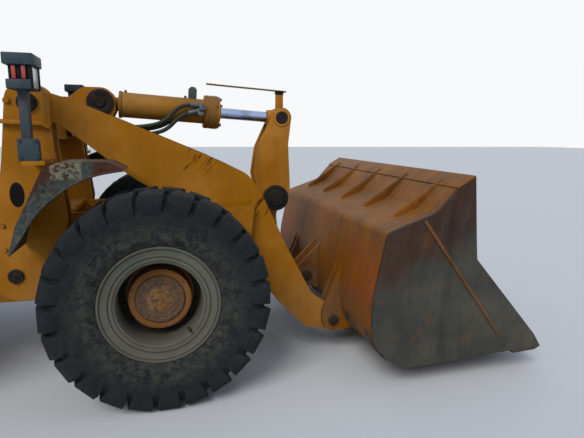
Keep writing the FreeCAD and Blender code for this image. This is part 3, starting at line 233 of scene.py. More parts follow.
weather, old, aged = effect(
    "weathered_paint",
    [("Paint", "Color", (0.4, 0.165, 0.008, 1)), ("Rust", "Float", 0.3), ("Edges", "Float", 0.8),
     ("Streaks", "Float", 0.5), ("Dust", "Float", 0.3)],
    [("Color", "Color"), ("Roughness", "Float"), ("Height", "Float")])
spot = put(weather, "TexCoord").outputs
place = spot["Object"]
faced = put(weather, "SeparateXYZ", {0: spot["Normal"]}).outputs
height = part_of(place, "Z")
fine = grain(place, 75, 5)
cloud = grain(place, 1.6, 3)
blotch = grain(place, 7, 10, 0.72)
toned = mixed(step(cloud, 0.35, 0.68), shade_of(weather, old["Paint"], 0.78, 1.05),
              shade_of(weather, old["Paint"], 1.12, 0.95))
mottled = mixed(times(step(grain(place, 19, 8, 0.7), 0.5, 0.75), 0.35),
                toned, shade_of(weather, old["Paint"], 0.55))
runs = grain(stretched(place, (15, 15, 0.8)), 1, 6)
upright = less(1.0, sums("ABSOLUTE", faced["Z"]))
streaked = times(times(step(runs, 0.48, 0.8), upright),
                old["Streaks"])
streaky = mixed(streaked, mottled, shade_of(weather, old["Paint"], 0.3, 0.8))
edges = put(weather, "Group", {"Reach": 0.008, "Amount": old["Edges"]}, node_tree=edge_wear).outputs[0]
limit = less(0.92, times(old["Rust"], 0.42))
speckled = put(weather, "Math", {0: fine, 1: 0.22, 2: blotch}, operation="MULTIPLY_ADD").outputs[0]
rusty = put(weather, "MapRange", {"Value": less(speckled, limit),
                                  "From Max": 0.055}).outputs["Result"]
bare = sums("MAXIMUM", rusty, edges)
stain = put(weather, "MapRange", {"Value": less(speckled, less(limit, 0.09)),
                                  "From Max": 0.12, "To Max": 0.45}).outputs["Result"]
stained = mixed(stain, streaky, (0.17, 0.06, 0.018, 1))
rust_tone = mixed(grain(place, 24, 6), (0.028, 0.011, 0.007, 1), (0.135, 0.052, 0.018, 1))
rusted = mixed(bare, stained, rust_tone)
settled = times(step(faced["Z"], 0.35, 0.95), step(blotch, 0.3, 0.6))
splash = times(step(height, 1.15, 0.15), step(cloud, 0.32, 0.62))
dirt = times(sums("MAXIMUM", settled, splash), old["Dust"])
dusty = mixed(dirt, rusted, (0.1, 0.084, 0.064, 1))
weather.links.new(dusty, aged["Color"])
matt = sums("ADD", times(bare, 0.3), times(dirt, 0.25))
sheen = sums("ADD", 0.4, times(cloud, 0.2))
weather.links.new(sums("ADD", matt, sheen), aged["Roughness"])
relief = less(sums("ADD", 0.5, times(fine, 0.2)),
              times(bare, 0.3))
weather.links.new(relief, aged["Height"])


def enamel(name, paint, rust=0.3, edges=0.8, streaks=0.5, dust=0.3, metal=0.0, depth=0.003,
           paint_maker=None):
    """Old paint or metal from the weathering; paint_maker may draw its colour itself."""
    material, tree, surface = blank_material(name)
    coat = put(tree, "Group", {"Paint": paint, "Rust": rust, "Edges": edges, "Streaks": streaks,
                               "Dust": dust}, node_tree=weather)
    if paint_maker:
        tree.links.new(paint_maker(tree, paint), coat.inputs["Paint"])
    coat = coat.outputs
    bump = put(tree, "Bump", {"Height": coat["Height"], "Distance": depth, "Strength": 0.6})
    shaded(surface, {"Base Color": coat["Color"], "Roughness": coat["Roughness"],
                                          "Normal": bump.outputs[0], "Metallic": metal,
                                          "Specular IOR Level": 0.11})
    return material


def dress(material, *nodes):
    """Gives the solids of these names their finish."""
    for name in nodes:
        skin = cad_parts[name].data.materials
        skin.clear()
        skin.append(material)


ochre = (0.385, 0.147, 0.001, 1)
yellow_paint = enamel("yellow_enamel", ochre, 0.3, 0.75, 0.45, 0.35)


# Tyres: wide earth-mover tyres with two staggered rows of broad lugs. The lugs lie close
# together, run down over the shoulder and end square on the wall, as on moulded rubber.

def mode(kind):
    """Enters or leaves edit mode."""
    bpy.ops.object.mode_set(mode=kind)


def begin():
    """Leaves edit mode and selects nothing."""
    if bpy.context.mode != "OBJECT":
        mode("OBJECT")
    bpy.ops.object.select_all(action="DESELECT")


def only(piece):
    """Makes this piece the one that is selected."""
    begin()
    piece.select_set(True)
    bpy.context.view_layer.objects.active = piece
    return piece


def applied(piece, kind, **settings):
    """Adds a modifier with these settings and applies it."""
    only(piece)
    modifier = piece.modifiers.new(kind.lower(), kind)
    for setting, value in settings.items():
        setattr(modifier, setting, value)
    bpy.ops.object.modifier_apply(modifier=modifier.name)
    return piece


def first_corner(name, corner):
    """A new piece that is one vertex, in edit mode."""
    begin()
    bpy.ops.mesh.primitive_plane_add(size=1, location=(0, 0, 0))
    piece = bpy.context.object
    piece.name = name
    mode("EDIT")
    bpy.ops.mesh.select_mode(type="VERT")
    bpy.ops.mesh.merge(type="CENTER")
    bpy.ops.transform.translate(value=corner)
    return piece


def chain(corners):
    """Extrudes the chosen vertex along the corners."""
    for before, after in zip(corners, corners[1:]):
        bpy.ops.mesh.extrude_vertices_move(TRANSFORM_OT_translate={"value": after - before})
    bpy.ops.mesh.select_all(action="SELECT")


def lathe(profile, centre=(0, 0, 0), axis=(0, 1, 0), steps=48, name="turned"):
    """A profile of (along, radius) points turned about an axis through a centre."""
    axis = Vector(axis).normalized()
    across = axis.orthogonal().normalized()
    centre = Vector(centre)
    corners = [centre + axis * along + across * max(radius, 0.00001) for along, radius in profile]
    piece = first_corner(name, corners[0])
    chain(corners)
    bpy.ops.mesh.spin(steps=steps, angle=math.tau, center=centre, axis=axis)
    bpy.ops.mesh.select_all(action="SELECT")
    bpy.ops.mesh.remove_doubles(threshold=0.00005)
    bpy.ops.mesh.normals_make_consistent(inside=False)
    mode("OBJECT")
    return piece


def turned(profile, *place):
    """A lathed part whose profile is closed by a flat face at both ends."""
    return lathe([(profile[0][0], 0.001)] + profile + [(profile[-1][0], 0.001)], *place)


def joined(name, parts, angle=35):
    """Parts made into one piece, smooth except at edges sharper than the angle."""
    begin()
    for part in parts:
        part.select_set(True)
    bpy.context.view_layer.objects.active = parts[0]
    if len(parts) > 1:
        bpy.ops.object.join()
    piece = bpy.context.object
    piece.name = name
    bpy.ops.object.shade_smooth_by_angle(angle=math.radians(angle))
    return piece


def copied(piece, name, matrix):
    """A copy of a piece, with its own mesh, moved by a matrix."""
    copy = piece.copy()
    copy.data = piece.data.copy()
    copy.data.transform(matrix)
    if matrix.determinant() < 0:
        copy.data.flip_normals()
    copy.name = name
    bpy.context.scene.collection.objects.link(copy)
    return copy


def fitted(piece, material, body, slot, *nodes):
    """Gives a piece its finish, its body and the solids that it stands for; the slot is not used."""
    piece.data.materials.clear()
    piece.data.materials.append(material)
    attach(piece, body)
    if nodes:
        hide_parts(*nodes)
    return piece


def single(name, parts, *finish):
    """Parts joined and then fitted."""
    return fitted(joined(name, parts), *finish)


tyre_low, tyre_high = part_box("tyre_front_left")
wheel_centre = (tyre_low + tyre_high) / 2
axle_height = wheel_centre.z
bead_radius = 0.345
lug_count = 24
lug_path = [
    # across, radius of the middle, lean from upright, width, depth, sweep
    (0.004, 0.6455, 0, 0.108, 0.042, 0.0),
    (0.075, 0.645, 0, 0.122, 0.042, 0.01),
    (0.14, 0.643, 5, 0.134, 0.044, 0.02),
    (0.184, 0.631, 24, 0.14, 0.052, 0.028),
    (0.2025, 0.605, 60, 0.13, 0.044, 0.032),
    (0.208, 0.575, 82, 0.116, 0.027, 0.03),
    (0.2105, 0.536, 90, 0.104, 0.012, 0.024),
]
casing_half_profile = [
    # across, radius
    (0.176, bead_radius), (0.188, 0.362), (0.197, 0.372), (0.203, 0.39), (0.2075, 0.397),
    (0.2085, 0.412), (0.2065, 0.42), (0.21, 0.44), (0.212, 0.462), (0.214, 0.465),
    (0.214, 0.469), (0.2125, 0.472), (0.215, 0.495), (0.2165, 0.52), (0.2165, 0.538), (0.2145, 0.547),
    (0.206, 0.558), (0.2, 0.58), (0.188, 0.604), (0.164, 0.622), (0.09, 0.633),
]
casing_profile = ([(-across, radius) for across, radius in casing_half_profile] + [(0, 0.635)]
                  + casing_half_profile[::-1])
casing = lathe(casing_profile + casing_profile[:1], steps=96, name="casing")

begin()
bpy.ops.mesh.primitive_plane_add(size=1, location=(0, 0, 0))
lugs = bpy.context.object
lugs.name = "lugs"
mode("EDIT")
bpy.ops.transform.rotate(value=math.pi / 2, orient_axis="X", center_override=(0, 0, 0))
across, radius, lean, width, depth, sweep = lug_path[0]
bpy.ops.transform.resize(value=(width, 1, depth), center_override=(0, 0, 0))
centre = Vector((sweep, across, radius))
bpy.ops.transform.translate(value=centre)
for across, radius, lean_after, width_after, depth_after, sweep in lug_path[1:]:
    centre_after = Vector((sweep, across, radius))
    bpy.ops.mesh.extrude_region_move(TRANSFORM_OT_translate={"value": centre_after - centre})
    bpy.ops.transform.resize(value=(width_after / width, depth_after / depth, depth_after / depth),
                             center_override=centre_after)
    bpy.ops.transform.rotate(value=math.radians(lean_after - lean), orient_axis="X",
                             center_override=centre_after)
    centre, lean, width, depth = centre_after, lean_after, width_after, depth_after
bpy.ops.mesh.select_all(action="SELECT")
bpy.ops.mesh.normals_make_consistent(inside=False)
mode("OBJECT")
applied(lugs, "BEVEL", width=0.006, segments=2, limit_method="ANGLE", angle_limit=math.radians(50))
mode("EDIT")
bpy.ops.mesh.select_all(action="SELECT")
bpy.ops.mesh.spin(steps=lug_count - 1, dupli=True, angle=math.tau * (lug_count - 1) / lug_count,
                  center=(0, 0, 0), axis=(0, 1, 0))
mode("OBJECT")
other_lugs = copied(lugs, "other_lugs", Matrix.Rotation(math.pi / lug_count, 4, "Y")
                    @ Matrix.Rotation(math.pi, 4, "Z"))
tyre = joined("tyre", [casing, lugs, other_lugs], 32)

wheel_reach, _, reach_out = effect("wheel_reach", [], [("Radius", "Float"), ("Depth", "Float")])
reach_point = put(wheel_reach, "SeparateXYZ", {0: place_in(wheel_reach)}).outputs
rear_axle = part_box("rim_rear_left")[0].x + (rim_high.x - rim_low.x) / 2
half_wheelbase = (front_axle - rear_axle) / 2
from_middle = sums("SUBTRACT", reach_point["X"], front_axle - half_wheelbase, clamp=False)
from_middle = sums("ABSOLUTE", from_middle, clamp=False)
from_axle = sums("SUBTRACT", from_middle, half_wheelbase, clamp=False)
above_axle = sums("SUBTRACT", reach_point["Z"], axle_height, clamp=False)
offset = put(wheel_reach, "CombineXYZ", {0: from_axle, 1: above_axle}).outputs[0]
wheel_reach.links.new(put(wheel_reach, "VectorMath", {0: offset}, operation="LENGTH").outputs["Value"],
                      reach_out["Radius"])
wheel_reach.links.new(sums("ABSOLUTE", reach_point["Y"], clamp=False), reach_out["Depth"])

rubber, rubber_tree, rubber_surface = blank_material("old_rubber")
rubber_place = place_in(rubber_tree)
rubber_reach = put(rubber_tree, "Group", node_tree=wheel_reach).outputs
rubber_cloud = grain(rubber_place, 5, 8, 0.7)
rubber_fine = grain(rubber_place, 90, 5, 0.7)
rubber_rough = grain(rubber_place, 26, 8, 0.75)
rubber_mud = times(step(rubber_cloud, 0.4, 0.7),
                  step(rubber_fine, 0.3, 0.6))
rubber_wall = mixed(rubber_mud, (0.0075, 0.0105, 0.014, 1), (0.032, 0.036, 0.035, 1))
rubber_mottled = mixed(step(rubber_rough, 0.46, 0.6), rubber_wall,
                       (0.0125, 0.0155, 0.018, 1))
rim_dust = times(step(rubber_reach["Radius"], 0.55, 0.42),
                step(rubber_rough, 0.4, 0.6))
rubber_dusty = mixed(times(rim_dust, 0.8), rubber_mottled,
                     (0.05, 0.05, 0.037, 1))
cracks = put(rubber_tree, "TexVoronoi", {"Vector": stretched(rubber_place, (28, 28, 28)), "Scale": 1.0},
             feature="DISTANCE_TO_EDGE").outputs["Distance"]
cracked = times(step(cracks, 0.045, 0.01),
               step(rubber_cloud, 0.48, 0.6))
rubber_aged = mixed(times(cracked, 0.7), rubber_dusty,
                    (0.006, 0.007, 0.008, 1))
rubber_scuff = put(rubber_tree, "Group", {"Reach": 0.012, "Amount": 0.4}, node_tree=edge_wear).outputs[0]
rubber_worn = mixed(rubber_scuff, rubber_aged, (0.046, 0.05, 0.053, 1))
rubber_bump = put(rubber_tree, "Bump", {"Height": times(rubber_fine, rubber_rough),
                                        "Distance": 0.006, "Strength": 0.7})
shaded(rubber_surface, {
    "Base Color": rubber_worn, "Normal": rubber_bump.outputs[0], "Specular IOR Level": 0.25,
    "Roughness": step(rubber_cloud, -0.8, 0.7)})


# Wheels: pressed rims with a lock ring and a deep disc, bolted by nuts to a cast planet
# hub. The rims are khaki and dusty, and the hubs are bare rusty iron with caked grease.

def hexagons(places, radius, tall, direction):
    """Hexagon bolt heads on washers, joined as one part, that point along a direction."""
    begin()
    direction = Vector(direction).normalized()
    turn = direction.to_track_quat("Z", "Y").to_euler()
    bolts = None
    for place in places:
        for sides, size, low, high in ((14, 1.35, 0, 0.25), (6, 1.0, 0.2, 1.0), (12, 0.8, 0.9, 1.1)):
            bpy.ops.mesh.primitive_cylinder_add(
                vertices=sides, radius=radius * size, depth=tall * (high - low), rotation=turn,
                location=Vector(place) + direction * tall * (low + high) / 2)
            if bolts is None:
                bolts = bpy.context.object
                bpy.ops.object.transform_apply()
                mode("EDIT")
    mode("OBJECT")
    bolts.name = "bolts"
    return bolts


def ring_places(count, radius, centre, axis=(0, 1, 0), start=0.0):
    """Places on a circle about an axis through a centre."""
    axis = Vector(axis).normalized()
    spoke = axis.orthogonal().normalized() * radius
    turns = [start + math.tau * i / count for i in range(count)]
    return [Vector(centre) + Matrix.Rotation(turn, 3, axis) @ spoke for turn in turns]


rim = joined("rim", [lathe([
    # the flange, the sloped bead seat, the lock ring and the gutter
    (0.186, 0.354), (0.1905, 0.35), (0.1905, 0.343), (0.186, 0.34), (0.178, 0.3385),
    (0.178, 0.3345), (0.184, 0.332), (0.179, 0.315),
    (0.177, 0.302), (0.1775, 0.296), (0.169, 0.2945), (0.1685, 0.2895), (0.1765, 0.288),
    (0.175, 0.27), (0.169, 0.2685), (0.169, 0.265), (0.173, 0.263), (0.169, 0.254),
    # the barrel, the disc's seat, and back along the tyre side
    (0.16, 0.25), (0.09, 0.248), (-0.04, 0.244), (-0.056, 0.235), (-0.0645, 0.22),
    (-0.0645, 0.215), (-0.085, 0.215), (-0.085, 0.3),
    (-0.16, 0.306), (-0.179, 0.315), (-0.184, 0.333), (-0.1905, 0.349), (-0.186, 0.354),
    (-0.176, 0.345), (-0.174, 0.318), (0.174, 0.318), (0.176, 0.345), (0.186, 0.354)],
    steps=96)], 30)
valve = joined("valve", [lathe([(0, 0.0001), (0, 0.009), (0.03, 0.008), (0.032, 0.0055), (0.05, 0.005),
                                (0.05, 0.0001)], (-0.16, 0.15, -0.165), (-0.2, 1, -0.2), 12)])
hub = joined("hub", [
    lathe([
        (0.07, 0.0001), (0.07, 0.095), (0.073, 0.1), (0.0745, 0.108), (0.0715, 0.113),
        (0.0735, 0.118), (0.075, 0.126), (0.075, 0.14), (0.072, 0.144), (0.062, 0.1452),
        (0.056, 0.1465), (0.056, 0.1495), (0.062, 0.151), (0.0635, 0.156), (0.0635, 0.18),
        (0.06, 0.1865), (0.05, 0.188), (-0.04, 0.188), (-0.052, 0.193), (-0.056, 0.208),
        (-0.085, 0.208), (-0.085, 0.0001)], steps=72),
    hexagons(ring_places(3, 0.169, (0, 0.0635, 0), start=0.4), 0.0085, 0.006, (0, 1, 0)),
], 30)
disc = joined("disc", [
    lathe([(-0.06, 0.2081), (-0.06, 0.23), (-0.066, 0.243), (-0.084, 0.243), (-0.084, 0.2081),
           (-0.06, 0.2081)], steps=72),
    hexagons(ring_places(12, 0.2255, (0, -0.0605, 0)), 0.0135, 0.022, (0, 1, 0))], 30)


def rim_colour_and_recess_shade(tree, paint):
    """Khaki paint that turns dark down the wheel's recess, as painted shade and grease."""
    depth = put(tree, "Group", node_tree=wheel_reach).outputs["Depth"]
    # darker deeper into the wheel: painted shade in the recess, with grease
    return mixed(step(depth, wheel_centre.y + 0.15, wheel_centre.y - 0.03), paint,
                 (0.02, 0.018, 0.015, 1))


def hub_colour(tree, paint):
    """A bright rusty outer ring, a greyer cover, and caked grease at its middle."""
    radius = put(tree, "Group", node_tree=wheel_reach).outputs["Radius"]
    point = place_in(tree)
    flecks = grain(point, 55, 8, 0.75)
    cover = mixed(step(flecks, 0.4, 0.6), (0.055, 0.043, 0.036, 1), (0.16, 0.085, 0.038, 1))
    caked = mixed(step(flecks, 0.42, 0.58), (0.085, 0.055, 0.038, 1), (0.26, 0.125, 0.035, 1))
    middle = mixed(step(radius, 0.095, 0.06), cover, caked)
    return mixed(step(radius, 0.138, 0.15), middle, paint)


rim_paint = enamel("khaki_rim_paint", (0.106, 0.109, 0.086, 1), 0.3, 0.35, 0.3, 0.6,
                   paint_maker=rim_colour_and_recess_shade)
hub_rust = enamel("rusty_hub", (0.215, 0.088, 0.022, 1), 0.38, 0.3, 0.3, 0.15,
                  depth=0.008, paint_maker=hub_colour)
# the disc's near-black is painted shade deep in the wheel's recess, with grease
dark_disc = enamel("greasy_disc_and_painted_shade", (0.016, 0.014, 0.012, 1), 0.2, 0.2, 0.3, 0.2)
for wheel in ("front_left", "front_right", "rear_left", "rear_right"):
    low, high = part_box("rim_" + wheel)
    facing_out = Matrix.Rotation(math.pi if "right" in wheel else 0, 4, "Z")
    home = Matrix.Translation((low + high) / 2) @ facing_out
    body = "wheel_" + wheel
    fitted(copied(tyre, "tyre_" + wheel + "_lugged", home), rubber, body, "tyre_rubber", "tyre_" + wheel)
    fitted(copied(rim, "rim_" + wheel + "_pressed", home), rim_paint, body, "rim_paint", "rim_" + wheel)
    fitted(copied(hub, "hub_" + wheel, home), hub_rust, body, "rim_paint", "rim_" + wheel)
    fitted(copied(disc, "disc_" + wheel, home), dark_disc, body, "rim_paint", "rim_" + wheel)
    fitted(copied(valve, "valve_" + wheel, home), dark_disc, body, "tyre_rubber")
for pattern in (tyre, rim, hub, disc, valve):
    bpy.data.objects.remove(pattern)


# Axles: cast banjo housings with a bolted cover, a pinion flange and the propeller
# shafts' joints. They are painted with the frame and splashed with mud.

def block(low, high, bevel=0.004, segments=2):
    """A box between two corners with its edges rounded."""
    begin()
    low, high = Vector(low), Vector(high)
    bpy.ops.mesh.primitive_cube_add(size=1, location=(low + high) / 2)
    piece = bpy.context.object
    piece.scale = high - low
    bpy.ops.object.transform_apply()
    if bevel:
        applied(piece, "BEVEL", width=bevel, segments=segments, limit_method="ANGLE")
    return piece


def mirrored(part):
    """The same part on the machine's other side."""
    return copied(part, part.name + "_other", Matrix.Scale(-1, 4, (0, 1, 0)))


def paired(name, parts, angle=35):
    """Parts and their images on the machine's other side, as one piece."""
    piece = joined(name, parts, angle)
    return joined(name, [piece, mirrored(piece)], angle)


def twins(name, parts, *finish):
    """Parts, with their images on the other side, joined and then fitted."""
    return fitted(paired(name, parts), *finish)


dress(yellow_paint, "front_axle", "rear_axle")
casting = enamel("painted_casting", ochre, 0.42, 0.5, 0.5, 0.8)
for name, axle_x, nose, body in (("front_axle_fittings", fore(0), -1, "front"),
                                 ("rear_axle_fittings", rear_axle, 1, "chassis")):
    side = joined(name, [
        hexagons(ring_places(12, 0.188, (axle_x, 0.15, axle_height)), 0.011, 0.012, (0, 1, 0)),
        hexagons(ring_places(12, 0.128, (axle_x, 0.645, axle_height)), 0.01, 0.012, (0, -1, 0)),
        lathe([(-0.022, 0.074), (-0.022, 0.086), (-0.006, 0.092), (0.006, 0.092), (0.006, 0.074)],
              (axle_x, 0.64, axle_height), steps=36),
    ])
    flange = [
        lathe([(0, 0.046), (0, 0.088), (0.016, 0.088), (0.02, 0.06), (0.05, 0.052), (0.055, 0.046)],
              (axle_x + nose * 0.42, 0, axle_height), (nose, 0, 0), 32),
        hexagons(ring_places(6, 0.074, (axle_x + nose * 0.436, 0, axle_height), (1, 0, 0)), 0.008, 0.01,
                 (nose, 0, 0)),
        lathe([(0, 0.001), (0, 0.13), (0.01, 0.136), (0.024, 0.12), (0.04, 0.06), (0.044, 0.001)],
              (axle_x - nose * 0.18, 0, axle_height), (-nose, 0, 0), 32),
    ]
    single(name, [side, mirrored(side)] + flange, casting, body, "yellow_paint")


# Front frame: welded plate with two loader towers. Round keeper plates with bolts close
# the pins' ends, and a ledge is welded under each tower's crown.

dress(yellow_paint, "front_frame")
tower_face = 0.662


def keeper(x, y, z, radius, bolts=3, out=1):
    """A pin's round keeper plate with its bolts and a grease nipple, on a face along Y."""
    return [
        turned([(0, radius), (0.005, radius), (0.008, radius * 0.94), (0.008, radius * 0.55),
               (0.011, radius * 0.5)], (x, y, z), (0, out, 0), 32),
        hexagons(ring_places(bolts, radius * 0.74, (x, y + out * 0.008, z), start=0.5), radius * 0.11, 0.008,
                 (0, out, 0)),
        turned([(0, 0.006), (0.01, 0.005), (0.012, 0.003), (0.016, 0.003)],
              (x, y + out * 0.011, z), (0, out, 0), 10),
    ]


def outline_plate(outline, near, far, bevel=0.003):
    """An outline of (x, z) corners cut from plate, between two places across the machine."""
    corners = [Vector((x, near, z)) for x, z in outline]
    piece = first_corner("plate", corners[0])
    chain(corners)
    bpy.ops.mesh.edge_face_add()
    bpy.ops.mesh.extrude_region_move(TRANSFORM_OT_translate={"value": (0, far - near, 0)})
    bpy.ops.mesh.select_all(action="SELECT")
    bpy.ops.mesh.normals_make_consistent(inside=False)
    mode("OBJECT")
    if bevel:
        applied(piece, "BEVEL", width=bevel, segments=2, limit_method="ANGLE")
    return piece


twins("tower_ledges", [
    outline_plate([(fore(-0.868), 1.712), (fore(-0.868), 1.738), (fore(-0.64), 1.728), (fore(-0.596), 1.7),
                   (fore(-0.596), 1.676), (fore(-0.64), 1.702)], tower_face - 0.001, tower_face + 0.04),
    hexagons([at(-0.822, tower_face, 1.845)], 0.017, 0.014, (0, 1, 0)),
    hexagons([at(-0.905, tower_face, 1.1), at(-0.905, tower_face, 0.95), at(-0.66, tower_face, 0.9),
              at(-0.66, tower_face, 0.76)], 0.012, 0.012, (0, 1, 0)),
], yellow_paint, "front", "yellow_paint")
# a near-black oval plate on each tower's face is painted shade, standing for the shadow inside the tower's oval hole
shadow = enamel("shadowed_opening", (0.004, 0.004, 0.004, 1), 0.0, 0.0, 0.1, 0.1)
window_x, window_z = fore(-0.813), 1.288
twins("tower_hole_shade_plates", [
    outline_plate([(window_x + 0.041 * math.cos(math.radians(10 * i)),
                    window_z + 0.076 * math.sin(math.radians(10 * i))) for i in range(36)],
                  tower_face - 0.0005, tower_face + 0.0008, 0)], shadow, "front", "black_trim")
pin_steel = enamel("greased_pin_steel", (0.016, 0.015, 0.014, 1), 0.22, 0.3, 0.1, 0.35)
dress(pin_steel, "boom_pivot_pins", "tilt_cylinder_pin", "articulation_pins", "bell_crank_pin", "link_pin",
      "bucket_pins")
twins("tower_keepers", keeper(fore(-0.715), 0.678, 1.837, 0.05), pin_steel, "front", "pin_steel")
twins("lift_foot_keepers", keeper(fore(-0.86), 0.667, 0.78, 0.046), pin_steel, "lift_barrels",
       "pin_steel")
twins("tilt_foot_bosses", [
    lathe([(0, 0.04), (0, 0.09), (0.01, 0.094), (0.02, 0.09), (0.024, 0.07), (0.018, 0.052),
           (0.018, 0.04)], at(-0.37, 0.0925, 1.88), (0, 1, 0), 40),
    turned([(0, 0.036), (0.012, 0.036), (0.016, 0.03), (0.012, 0.026)],
          at(-0.37, 0.104, 1.88), (0, 1, 0), 32),
], pin_steel, "front", "pin_steel")


# Front mudguards: folded sheet with a deep outer skirt and a rolled edge. Half of the
# paint has flaked to brown rust, and pale remains of a strip are left on the skirt.

def tube(points, radius, sides=3, smoothness=8):
    """A round bar, pipe or hose bent smoothly along these points."""
    begin()
    bpy.ops.curve.primitive_nurbs_path_add(location=(0, 0, 0))
    curve = bpy.context.object
    curve.data.splines.remove(curve.data.splines[0])
    route = curve.data.splines.new("NURBS")
    route.points.add(len(points) - 1)
    for point, place in zip(route.points, points):
        point.co = (*place, 1)
    route.order_u = 3
    route.use_endpoint_u = True
    curve.data.resolution_u = smoothness
    curve.data.bevel_depth = radius
    curve.data.bevel_resolution = sides
    curve.data.use_fill_caps = True
    bpy.ops.object.convert(target="MESH")
    return bpy.context.object


def guard_colour(tree, paint):
    """Grey-green paint, flaked to brown along its top and toe, with the rest of a pale strip."""
    point = place_in(tree)
    along = part_of(point, "X")
    height = part_of(point, "Z")
    flake = grain(point, 11, 10, 0.75)
    speck = grain(point, 42, 8, 0.7)
    reach = put(tree, "Group", node_tree=wheel_reach).outputs["Radius"]
    band = put(tree, "MapRange", {"Value": reach, "From Min": 0.8, "From Max": 1.0, "To Max": 0.34}).outputs[0]
    toe = put(tree, "MapRange", {"Value": along, "From Min": fore(-0.46), "From Max": fore(-0.3),
                                 "To Max": 0.3}).outputs[0]
    edge = put(tree, "Math", {0: sums("MAXIMUM", band, toe), 1: flake}, operation="ADD").outputs[0]
    flaked = step(edge, 0.64, 0.76)
    green = mixed(step(speck, 0.42, 0.62), paint, (0.085, 0.092, 0.07, 1))
    brown = mixed(speck, (0.022, 0.012, 0.01, 1), (0.105, 0.04, 0.024, 1))
    here = times(step(along, fore(-0.56), fore(-0.545)),
                step(along, fore(-0.385), fore(-0.4)))
    here = times(here, step(height, 1.395, 1.415))
    torn = put(tree, "Math", {0: flake, 1: 0.6, 2: speck}, operation="MULTIPLY_ADD").outputs[0]
    left = times(here, step(torn, 0.84, 0.78))
    return mixed(times(left, 0.8), mixed(flaked, green, brown),
                 (0.23, 0.225, 0.155, 1))


grey_paint = enamel("grey_blue_paint", (0.046, 0.064, 0.078, 1), 0.34, 0.6, 0.5, 0.3)
guard_paint = enamel("flaked_guard_paint", (0.036, 0.05, 0.052, 1), 0.25, 0.8, 0.6, 0.3,
                     paint_maker=guard_colour)
dress(guard_paint, "front_mudguards")
skirt_line = [at(x, 1.004, z) for x, z in (
    (-0.168, 1.452), (-0.215, 1.447), (-0.33, 1.426), (-0.43, 1.385), (-0.52, 1.328), (-0.6, 1.262),
    (-0.665, 1.188), (-0.722, 1.09), (-0.792, 0.99))]
twins("mudguard_edges", [
    tube(skirt_line, 0.006, 2),
    hexagons([at(-0.3, 1.005, 1.462), at(-0.47, 1.005, 1.44), at(-0.6, 1.005, 1.352),
              at(-0.7, 1.005, 1.2)], 0.009, 0.008, (0, 1, 0)),
    hexagons([at(-0.66, 0.76, 1.374), at(-0.6, 0.76, 1.374)], 0.01, 0.01, (0, 0, 1)),
], guard_paint, "front", "grey_paint")


# Lamp posts: a square tube on a bolted foot carries a tray and a hood of folded sheet.
# Between them sits the black lamp housing with two red side strips and a ribbed lens.

post_x, post_y = fore(-0.68), 0.87
foot_x = fore(-0.668)
post_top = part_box("lamp_posts")[1].z
tray_low, tray_high = 1.889, 1.94
hood_low = 2.014
foot_low, foot_high = 1.505, 1.615
lamp_back, lamp_front = fore(-0.735), fore(-0.612)
lamp_half = 0.09
lamp_in, lamp_out = post_y - lamp_half, post_y + lamp_half
twins("lamp_post_frames", [
    block((foot_x - 0.042, post_y - 0.054, foot_low), (foot_x + 0.042, post_y + 0.046, foot_high), 0.004),
    block((foot_x - 0.054, post_y + 0.044, foot_low - 0.004), (foot_x + 0.054, post_y + 0.054, foot_high + 0.014),
          0.002),
    hexagons([(foot_x + dx, post_y + 0.054, foot_low + dz) for dx in (-0.04, 0.04) for dz in (0.016, 0.11)],
             0.0075, 0.008, (0, 1, 0)),
    block((post_x - 0.026, post_y - 0.026, foot_low), (post_x + 0.026, post_y + 0.026, tray_low + 0.004), 0.006),
    block((lamp_back - 0.004, lamp_in - 0.006, tray_low), (lamp_front - 0.004, lamp_out + 0.008, tray_high), 0.006),
    block((lamp_back - 0.014, lamp_in - 0.014, hood_low), (lamp_front + 0.014, lamp_out + 0.014, post_top),
          0.007),
], grey_paint, "front", "grey_paint", "lamp_posts")
black_trim = enamel("black_plastic", (0.0085, 0.0085, 0.0095, 1), 0.0, 0.0, 0.25, 0.4)
twins("lamp_housings", [
    block((lamp_back + 0.008, lamp_in + 0.008, tray_high - 0.002), (lamp_front - 0.022, lamp_out - 0.01,
                                                                   hood_low + 0.002), 0.006),
    block((lamp_front - 0.018, lamp_in, tray_low + 0.004), (lamp_front - 0.008, lamp_out, hood_low + 0.01), 0.003),
    ] + [
    block((lamp_front - 0.01, y, tray_low + 0.004), (lamp_front + 0.004, y + 0.017, hood_low), 0.003)
    for y in (lamp_in + 0.001, lamp_out - 0.018)
], black_trim, "front", "grey_paint", "lamp_posts")


def lens(name, colour, depth=0.0012):
    """Ribbed lamp glass over a bright reflector, dusty at its edges."""
    material, tree, surface = blank_material(name)
    point = place_in(tree)
    ribs = put(tree, "TexWave", {"Vector": point, "Scale": 38.0}, bands_direction="Y").outputs["Fac"]
    smear = grain(point, 14, 6)
    tint = mixed(step(smear, 0.45, 0.75), colour, shade_of(tree, colour, 0.45, 0.8))
    bump = put(tree, "Bump", {"Height": ribs, "Distance": depth})
    shaded(surface, {"Base Color": tint, "Normal": bump.outputs[0], "Coat Weight": 0.6,
                                          "Coat Roughness": 0.08, "Metallic": 0.15,
                                          "Roughness": step(smear, -0.2, 1.6)})
    return material


